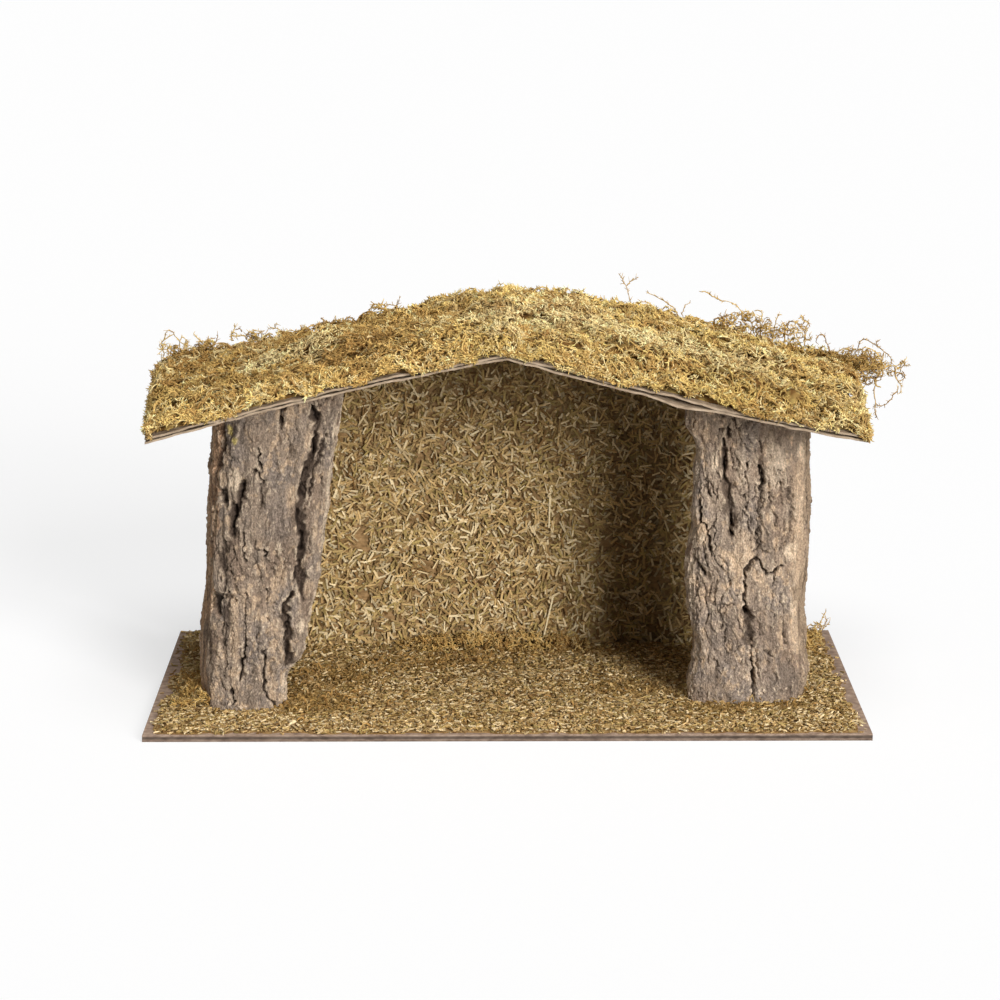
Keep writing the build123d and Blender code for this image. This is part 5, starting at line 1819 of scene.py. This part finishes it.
class STABLE_OT_floor_litter(bpy.types.Operator):
    """Build the chaff strewn on the base"""

    bl_idname = "stable.floor_litter"
    bl_label = "Floor litter"

    def strewn(self, x, y, low, high):
        """How thickly the chaff lies: less to the base's edges."""
        aside = np.minimum(x - low[0], high[0] - x) - LITTER_SIDE_GAP
        edge = np.minimum(aside, np.minimum(y - low[1] + LITTER_FRONT_SPILL, high[1] - y))
        ragged = edge + LITTER_EDGE_RAGGED * grained(on_plan(x, y), LITTER_EDGE_GRAIN, LITTER_SEED)
        return ramp(ragged, *LITTER_EDGE_LIMITS)

    def mossy(self, x, y):
        """How mossy the floor is: most at the posts' feet and along the wall."""
        share = np.zeros(len(x))
        for middle, half in FLOOR_MOSS_SPOTS:
            share = np.maximum(share, 1 - ramp(spot_reach(x, y, middle, half), *MOSSY_LIMITS))
        return np.clip(share + MOSSY_RAGGED_SHARE * grained(on_plan(x, y), MOSSY_GRAIN, LITTER_SEED), 0, 1)

    def execute(self, context):
        straw = context.scene.stable_straw
        moss = context.scene.stable_moss
        material = tinted_material("chaff")
        low, high = box_mm("floor_litter")
        edges = np.linspace(low[1], high[1], len(LITTER_BANDS) + 1)
        edges[0] -= LITTER_SPILL
        edges[-1] += LITTER_SPILL
        for number, band in enumerate(LITTER_BANDS):
            rng = np.random.default_rng(LITTER_SEED + number)
            start, end = edges[number], edges[number + 1]
            heap = Heap()
            self.bed(heap, low, high, start, end, straw)
            self.chaff(heap, rng, low, high, start, end, straw)
            self.moss_crumbs(heap, rng, low, high, start, end, moss)
            settle(heap.piece("floor_litter_" + band, material, False), ["floor_litter"])
        return {"FINISHED"}

    def chaff(self, heap, rng, low, high, start, end, straw):
        """The loose chips of one band of the floor."""
        count = straw.litter_count
        x = rng.uniform(low[0] - LITTER_SPILL, high[0] + LITTER_SPILL, count)
        y = rng.uniform(start, end, count)
        free = rng.random(count) < np.maximum(self.strewn(x, y, low, high), LITTER_LEAST_SHARE)
        x = x[free]
        y = y[free]
        count = len(x)
        depth = rng.uniform(0.0, 1.0, count)
        z = low[2] + LITTER_LIFT + depth * LITTER_RISE * self.strewn(x, y, low, high)
        turn = rng.uniform(0, 2 * math.pi, count)
        along = unit(np.stack([np.cos(turn), np.sin(turn), rng.normal(0, LITTER_LEAN, count)], axis=1))
        out = tilted(rng, along, UP, LITTER_ROLL)
        sizes = chip_sizes(rng, count, (straw.litter_length, straw.litter_width, straw.litter_thick))
        big = rng.random(count) < BIG_CHIP_SHARE
        sizes[big] *= BIG_CHIP_SCALES
        tints = chip_tints(rng, straw, depth, LITTER_DEPTH_SHADE)
        least, most = SPECK_CHANCES
        specks = rng.random(count) < least + most * self.mossy(x, y)
        tints = blend(tints, straw.speck_colour, SPECK_COLOUR_SHARE * specks)
        taper = rng.uniform(*LITTER_TAPER_SHARES, count)
        add_chips(heap, np.stack([x, y, z], axis=1), along, out, sizes, taper, tints)

    def moss_crumbs(self, heap, rng, low, high, start, end, moss):
        """Crumbs of moss among the chips, thick at the posts' feet."""
        count = moss.crumb_count
        x = rng.uniform(low[0], high[0], count)
        y = rng.uniform(start, end, count)
        free = rng.random(count) < self.mossy(x, y) * self.strewn(x, y, low, high)
        x = x[free]
        y = y[free]
        count = len(x)
        level = low[2] + CRUMB_LEVEL
        flow = strand_flow(rng, x, y, np.arange(count))
        stems = stem_paths(rng, x, y, flow, lambda path_x, path_y: np.full(path_x.shape, level),
                           moss.crumb_length / MM, (low, high))
        stems[:, :, 2] = np.maximum(stems[:, :, 2], low[2] + CRUMB_LEAST)
        tints = moss_tints(rng, x, y, moss)
        tints = blend(tints, moss.brown_colour, rng.uniform(*CRUMB_BROWN_SHARES, count))
        size = (moss.twig_radius / MM, CRUMB_TAPER_SHARE)
        add_strands(heap, rng, stems, size, tints, (moss.root_shade_colour, moss.root_shade_share), WHOLE_SHEET, None)

    def bed(self, heap, low, high, start, end, straw):
        """The bed of dust and glue that the chips lie in."""
        columns = int((high[0] - low[0]) / LITTER_CELL) + 1
        rows = int((end - start) / LITTER_CELL) + 1
        x, y = np.meshgrid(np.linspace(low[0], high[0], columns), np.linspace(start, end, rows))
        flat = on_plan(x.ravel(), y.ravel())
        usual, swing = BED_RISES
        rise = usual + swing * grained(flat, BED_GRAIN, LITTER_SEED)
        top = low[2] - BED_DROP + self.strewn(x, y, low, high) * rise.reshape(x.shape)
        shade = (1 + grained(flat, BED_SHADE_GRAIN, LITTER_SEED)) / 2
        tints = blend(painted(straw.brown_colour, len(flat)), straw.tan_colour, BED_TAN_SHARE * shade)
        tints = blend(tints, straw.speck_colour, BED_SPECK_SHARE * self.mossy(flat[:, 0], flat[:, 1]))
        add_slab(heap, x, y, top, np.full(x.shape, low[2] - BED_THICK), tints, WHOLE_SHEET)


class StableStraw(bpy.types.PropertyGroup):
    """Sizes and colours of the straw and the chaff."""

    chip_length: length_setting("Chip length", "Usual length of a chip on the wall", 0.0044)
    chip_width: length_setting("Chip width", "Usual width of a chip on the wall", 0.00092)
    chip_thick: length_setting("Chip thickness", "Usual thickness of a chip on the wall", 0.0005)
    chip_count: count_setting("Chips", "Chips on one half of the wall", 10000)
    litter_length: length_setting("Chaff length", "Usual length of a chip on the floor", 0.0022)
    litter_width: length_setting("Chaff width", "Usual width of a chip on the floor", 0.00075)
    litter_thick: length_setting("Chaff thickness", "Usual thickness of a chip on the floor", 0.0005)
    litter_count: count_setting("Chaff", "Chips on one band of the floor", 11000)
    tan_colour: colour_setting("Tan", "Usual colour of the straw", (0.56, 0.375, 0.16))
    pale_colour: colour_setting("Pale", "Bleached straw", (0.84, 0.68, 0.41))
    olive_colour: colour_setting("Olive", "Greenish straw", (0.40, 0.29, 0.10))
    brown_colour: colour_setting("Brown", "Dark straw", (0.20, 0.105, 0.035))
    speck_colour: colour_setting("Moss specks", "Crumbs of moss in the chaff", (0.25, 0.145, 0.04))


# Boards


LINER_COLUMN_COUNT = 360
LINER_ROWS = (0.0, 0.6, 1.5, 3.0, 5.0, 8.0, 12.0, 20.0, 30.0)
FLUTE_ROW_COUNT = 260
FLUTE_COLUMN_COUNT = 180
FLUTE_PITCH = 7.9
FLUTE_PAPER = 0.4
FLUTE_FRONT_GAP = 5.0
FLUTE_BACK_GAP = 1.5
FLUTE_CLEARANCE = 0.1
LIP_THICK = 1.0
LIP_TAPER = 2.5
LIP_RIPPLE = 0.3
LIP_RIPPLE_GRAIN = (7.0, 3, 5)
TORN_PLACE = 82.0
TORN_REACH = 9.0
TORN_DEPTH = 1.8


class STABLE_OT_boards(bpy.types.Operator):
    """Finish the base, the back panel and the folded roof board"""

    bl_idname = "stable.boards"
    bl_label = "Boards"

    def execute(self, context):
        boards = context.scene.stable_boards
        dress("base_board", self.base_material(boards))
        panel = sheet_material("panel board", (boards.panel_dark, boards.panel_colour, boards.panel_pale))
        dress("back_panel", panel)
        kraft = sheet_material("kraft liner", (boards.kraft_dark, boards.kraft_colour, boards.kraft_pale))
        flute = sheet_material("fluting", (boards.flute_dark, boards.flute_colour, boards.flute_colour))
        self.liner("roof_top_liner", kraft, True)
        self.liner("roof_bottom_liner", kraft, False)
        self.fluting(flute)
        return {"FINISHED"}

    def base_material(self, boards):
        """Hardboard whose sawn edge is darker in a band below the middle, with a painted highlight along
        the top arris.
        """
        material = sheet_material("hardboard", (boards.board_dark, boards.board_colour, boards.board_pale))
        nodes = material.node_tree.nodes
        links = material.node_tree.links
        place = nodes.new("ShaderNodeTexCoord")
        parts = nodes.new("ShaderNodeSeparateXYZ")
        level = nodes.new("ShaderNodeMapRange")
        level.inputs["From Max"].default_value = box_mm("base_board")[1][2] * MM
        links.new(place.outputs["Object"], parts.inputs["Vector"])
        links.new(parts.outputs["Z"], level.inputs["Value"])
        # Painted highlight along the top arris and the top face, and a darker band lower down, by height
        heights, shades = zip(*BASE_EDGE_SHADING)
        layers = add_ramp(material, level.outputs["Result"], heights, greys(shades))
        surface = nodes["Principled BSDF"].inputs["Base Color"]
        multiply(material, surface.links[0].from_socket, layers, surface)
        return material

    def sheet(self, node, x, y, faces, material, smooth, slot):
        """One sheet of the roof board, between its upper and lower faces, in place of its solid."""
        heap = Heap()
        add_slab(heap, x, y, *faces, painted(EVEN, x.size), WHOLE_SHEET)
        settle(heap.piece(node + "_sheet", material, smooth), [node])

    def sheet_grid(self, columns, depth):
        """Places across the whole span at some depths."""
        half_span = roof_line()[0]
        return np.meshgrid(np.linspace(-half_span, half_span, columns), depth)

    def liner(self, node, material, upper):
        """One paper liner: its front lip swollen and rippled, the upper one crushed down at the front."""
        low, high = box_mm(node)
        half_span, fall, _, _ = roof_line()
        thick = high[2] - low[2] - fall * half_span
        away = np.array(LINER_ROWS)
        x, y = self.sheet_grid(LINER_COLUMN_COUNT, np.concatenate([low[1] + away, high[1] - away[::-1]]))
        ripple = LIP_RIPPLE * grained(on_plan(x, np.zeros_like(x)), LIP_RIPPLE_GRAIN, BOARD_SEED + upper)
        shift = ripple * np.exp(-np.minimum(y - low[1], high[1] - y) / LIP_RUN)
        swollen = (LIP_THICK - thick) * np.clip(1 - (y - low[1]) / LIP_TAPER, 0, 1)
        top = high[2] - fall * np.abs(x) + shift
        if upper:
            top = top + roof_settle(x, y)
            faces = (top + swollen, top - thick)
        else:
            torn = TORN_DEPTH * np.exp(-((x - TORN_PLACE) / TORN_REACH) ** 2 - (y - low[1]) / LIP_RUN)
            top = top + roof_bow(x, y) - torn
            faces = (top, top - thick - swollen)
        self.sheet(node, x, y, faces, material, False, "kraft_liner")

    def fluting(self, material):
        """The wavy paper between the liners, crushed flatter near the front."""
        low, high = box_mm("roof_fluting")
        half_span, fall, _, _ = roof_line()
        depth = np.linspace(low[1] + FLUTE_FRONT_GAP, high[1] - FLUTE_BACK_GAP, FLUTE_ROW_COUNT)
        x, y = self.sheet_grid(FLUTE_COLUMN_COUNT, depth)
        crush = lip_crush(x, y)
        rise = high[2] - low[2] - fall * half_span - crush
        middle = high[2] - fall * np.abs(x) - crush - rise / 2
        swing = np.maximum((rise - FLUTE_PAPER) / 2 - FLUTE_CLEARANCE, 0)
        height = middle + swing * np.sin(2 * math.pi * (y - low[1]) / FLUTE_PITCH) + roof_bow(x, y)
        faces = (height + FLUTE_PAPER / 2, height - FLUTE_PAPER / 2)
        self.sheet("roof_fluting", x, y, faces, material, True, "fluting_paper")


class StableBoards(bpy.types.PropertyGroup):
    """Colours of the boards."""

    board_dark: colour_setting("Base dark", "Dark fibres of the base board", (0.19, 0.13, 0.095))
    board_colour: colour_setting("Base", "Base board", (0.32, 0.225, 0.165))
    board_pale: colour_setting("Base pale", "Pale fibres of the base board", (0.43, 0.32, 0.24))
    panel_dark: colour_setting("Panel dark", "Dark fibres of the back panel", (0.19, 0.112, 0.045))
    panel_colour: colour_setting("Panel", "Back panel", (0.30, 0.18, 0.075))
    panel_pale: colour_setting("Panel pale", "Pale fibres of the back panel", (0.40, 0.25, 0.115))
    kraft_dark: colour_setting("Liner dark", "Dark fibres of the paper liners", (0.27, 0.20, 0.135))
    kraft_colour: colour_setting("Liner", "Paper liners of the roof board", (0.40, 0.30, 0.205))
    kraft_pale: colour_setting("Liner pale", "Pale fibres of the paper liners", (0.50, 0.39, 0.28))
    flute_dark: colour_setting("Fluting dark", "Dark fibres of the fluting", (0.16, 0.105, 0.06))
    flute_colour: colour_setting("Fluting", "Wavy paper in the roof board", (0.28, 0.19, 0.11))


# Fixings


class STABLE_OT_fixings(bpy.types.Operator):
    """Finish the nails, staples and glue beads"""

    bl_idname = "stable.fixings"
    bl_label = "Fixings"

    def execute(self, context):
        fixings = context.scene.stable_fixings
        steel, shader = fixing_material("bright steel", (fixings.steel_dark, fixings.steel_colour))
        shader.inputs["Metallic"].default_value = 1.0
        for node in ("post_nails", "roof_staples"):
            dress(node, steel)
        glue, _ = fixing_material("hot melt", (fixings.glue_dark, fixings.glue_colour))
        for node in ("panel_glue_bead", "gable_glue_beads"):
            dress(node, glue)
        return {"FINISHED"}


class StableFixings(bpy.types.PropertyGroup):
    """Colours of the nails, staples and glue."""

    steel_dark: colour_setting("Steel dark", "Dull parts of the steel", (0.42, 0.42, 0.43))
    steel_colour: colour_setting("Steel", "Bright steel", (0.62, 0.62, 0.63))
    glue_dark: colour_setting("Glue dark", "Thick parts of the glue", (0.60, 0.52, 0.36))
    glue_colour: colour_setting("Glue", "Hot-melt glue", (0.78, 0.71, 0.55))


# Stage


class STABLE_OT_stage(bpy.types.Operator):
    """Set up the floor, the lights and the camera"""

    bl_idname = "stable.stage"
    bl_label = "Stage"

    def execute(self, context):
        stage = context.scene.stable_stage
        self.floor(stage)
        self.world(context.scene, stage)
        self.soft_light("key light", stage.key_turn, stage.key_spread, stage.key_strength)
        self.soft_light("low light", stage.low_turn, stage.key_spread, stage.low_strength)
        self.soft_light("top light", stage.top_turn, stage.top_spread, stage.top_strength)
        self.soft_light("fill light", stage.fill_turn, stage.key_spread, stage.fill_strength)
        camera = bpy.data.cameras.new("camera")
        camera.lens = stage.camera_lens
        camera.sensor_width = stage.camera_sensor
        eye = bpy.data.objects.new("camera", camera)
        eye.location = stage.camera_place
        eye.rotation_euler = stage.camera_turn
        context.scene.collection.objects.link(eye)
        context.scene.camera = eye
        context.scene.view_settings.view_transform = "Standard"
        return {"FINISHED"}

    def floor(self, stage):
        """A wide pale floor that takes the stable's shadow."""
        half = stage.floor_size / 2
        mesh = bpy.data.meshes.new("floor")
        corners = [(-half, -half, 0), (half, -half, 0), (half, half, 0), (-half, half, 0)]
        mesh.from_pydata(corners, [], [(0, 1, 2, 3)])
        thing = bpy.data.objects.new("floor", mesh)
        bpy.context.scene.collection.objects.link(thing)
        material, shader = new_material("studio floor")
        shader.inputs["Base Color"].default_value = (*stage.floor_colour, 1.0)
        shader.inputs["Emission Color"].default_value = WHITE
        level = material.node_tree.nodes.new("ShaderNodeMath")
        level.operation = "MULTIPLY"
        level.inputs[1].default_value = stage.floor_lift
        material.node_tree.links.new(self.seen(material.node_tree), level.inputs[0])
        material.node_tree.links.new(level.outputs["Value"], shader.inputs["Emission Strength"])
        mesh.materials.append(material)

    def seen(self, tree):
        """Whether the camera sees this straight, in a shine or through something clear."""
        path = tree.nodes.new("ShaderNodeLightPath")
        total = path.outputs["Is Camera Ray"]
        for ray in ("Is Glossy Ray", "Is Transmission Ray"):
            add = tree.nodes.new("ShaderNodeMath")
            add.use_clamp = True
            tree.links.new(total, add.inputs[0])
            tree.links.new(path.outputs[ray], add.inputs[1])
            total = add.outputs["Value"]
        return total

    def world(self, scene, stage):
        """White behind the stable, and a weaker even light all around it."""
        world = bpy.data.worlds.new("studio")
        world.use_nodes = True
        scene.world = world
        nodes = world.node_tree.nodes
        links = world.node_tree.links
        around = nodes["Background"]
        around.inputs["Color"].default_value = (*stage.world_colour, 1.0)
        around.inputs["Strength"].default_value = stage.world_strength
        white = nodes.new("ShaderNodeBackground")
        white.inputs["Color"].default_value = WHITE
        choice = nodes.new("ShaderNodeMixShader")
        links.new(self.seen(world.node_tree), choice.inputs["Fac"])
        links.new(around.outputs["Background"], choice.inputs[1])
        links.new(white.outputs["Background"], choice.inputs[2])
        links.new(choice.outputs["Shader"], nodes["World Output"].inputs["Surface"])

    def soft_light(self, name, turn, spread, strength):
        """A far soft light that falls evenly over the whole floor."""
        lamp = bpy.data.lights.new(name, "SUN")
        lamp.angle = spread
        lamp.energy = strength
        thing = bpy.data.objects.new(name, lamp)
        thing.rotation_euler = turn
        bpy.context.scene.collection.objects.link(thing)


class StableStage(bpy.types.PropertyGroup):
    """Floor, lights and camera."""

    floor_size: length_setting("Floor size", "Side of the floor", 60.0)
    floor_colour: colour_setting("Floor", "Colour of the floor", (0.4, 0.4, 0.4))
    floor_lift: number_setting("Floor lift", "White added to the floor as the camera sees it", 0.62)
    world_colour: colour_setting("Surround", "Colour of the light all around", (1.0, 1.0, 1.0))
    world_strength: number_setting("Surround strength", "Strength of the light all around", 0.06)
    key_turn: turn_setting("Key turn", "How the key light is turned", (69, 0, 31))
    key_spread: spread_setting("Key spread", "How wide the key light looks", 24)
    key_strength: number_setting("Key strength", "Strength of the key light", 2.05)
    low_turn: turn_setting("Low turn", "How the low light is turned", (82, 0, 31))
    low_strength: number_setting("Low strength", "Strength of the low light", 1.95)
    top_turn: turn_setting("Top turn", "How the top light is turned", (20, 0, 15))
    top_spread: spread_setting("Top spread", "How wide the top light looks", 40)
    top_strength: number_setting("Top strength", "Strength of the top light", 1.75)
    fill_turn: turn_setting("Fill turn", "How the fill light is turned", (86, 0, -78))
    fill_strength: number_setting("Fill strength", "Strength of the fill light", 0.4)
    camera_place: FloatVectorProperty(name="Camera place", description="Where the camera stands",
                                      subtype="XYZ", unit="LENGTH", default=CAMERA_PLACE)
    camera_turn: FloatVectorProperty(name="Camera turn", description="How the camera is turned",
                                     subtype="EULER", unit="ROTATION", default=CAMERA_TURN)
    camera_lens: number_setting("Lens", "Focal length in millimetres", CAMERA_LENS)
    camera_sensor: number_setting("Sensor", "Sensor width in millimetres", CAMERA_SENSOR)


class STABLE_PT_panel(bpy.types.Panel):
    """Sidebar list of the stable's pieces."""

    bl_idname = "STABLE_PT_panel"
    bl_label = "Nativity stable"
    bl_space_type = "VIEW_3D"
    bl_region_type = "UI"
    bl_category = "Stable"

    def draw(self, context):
        for operator in OPERATORS:
            self.layout.operator(operator.bl_idname)


GROUPS = (
    ("stable_bark", StableBark), ("stable_moss", StableMoss), ("stable_straw", StableStraw),
    ("stable_boards", StableBoards), ("stable_fixings", StableFixings), ("stable_stage", StableStage),
)
OPERATORS = (
    STABLE_OT_boards, STABLE_OT_bark_posts, STABLE_OT_wall_straw, STABLE_OT_floor_litter,
    STABLE_OT_roof_moss, STABLE_OT_floor_moss, STABLE_OT_moss_sprigs, STABLE_OT_fixings, STABLE_OT_stage,
)


def register():
    """Make the stable's settings, operators and panel known."""
    for name, group in GROUPS:
        bpy.utils.register_class(group)
        setattr(bpy.types.Scene, name, PointerProperty(type=group))
    for operator in OPERATORS:
        bpy.utils.register_class(operator)
    bpy.utils.register_class(STABLE_PT_panel)


def unregister():
    """Take the stable's settings, operators and panel away again."""
    bpy.utils.unregister_class(STABLE_PT_panel)
    for operator in reversed(OPERATORS):
        bpy.utils.unregister_class(operator)
    for name, group in reversed(GROUPS):
        delattr(bpy.types.Scene, name)
        bpy.utils.unregister_class(group)


def main():
    """Build every piece in order."""
    register()
    bpy.ops.stable.boards()
    bpy.ops.stable.bark_posts()
    bpy.ops.stable.wall_straw()
    bpy.ops.stable.floor_litter()
    bpy.ops.stable.roof_moss()
    bpy.ops.stable.floor_moss()
    bpy.ops.stable.moss_sprigs()
    bpy.ops.stable.fixings()
    bpy.ops.stable.stage()


if __name__ == "__main__":
    main()
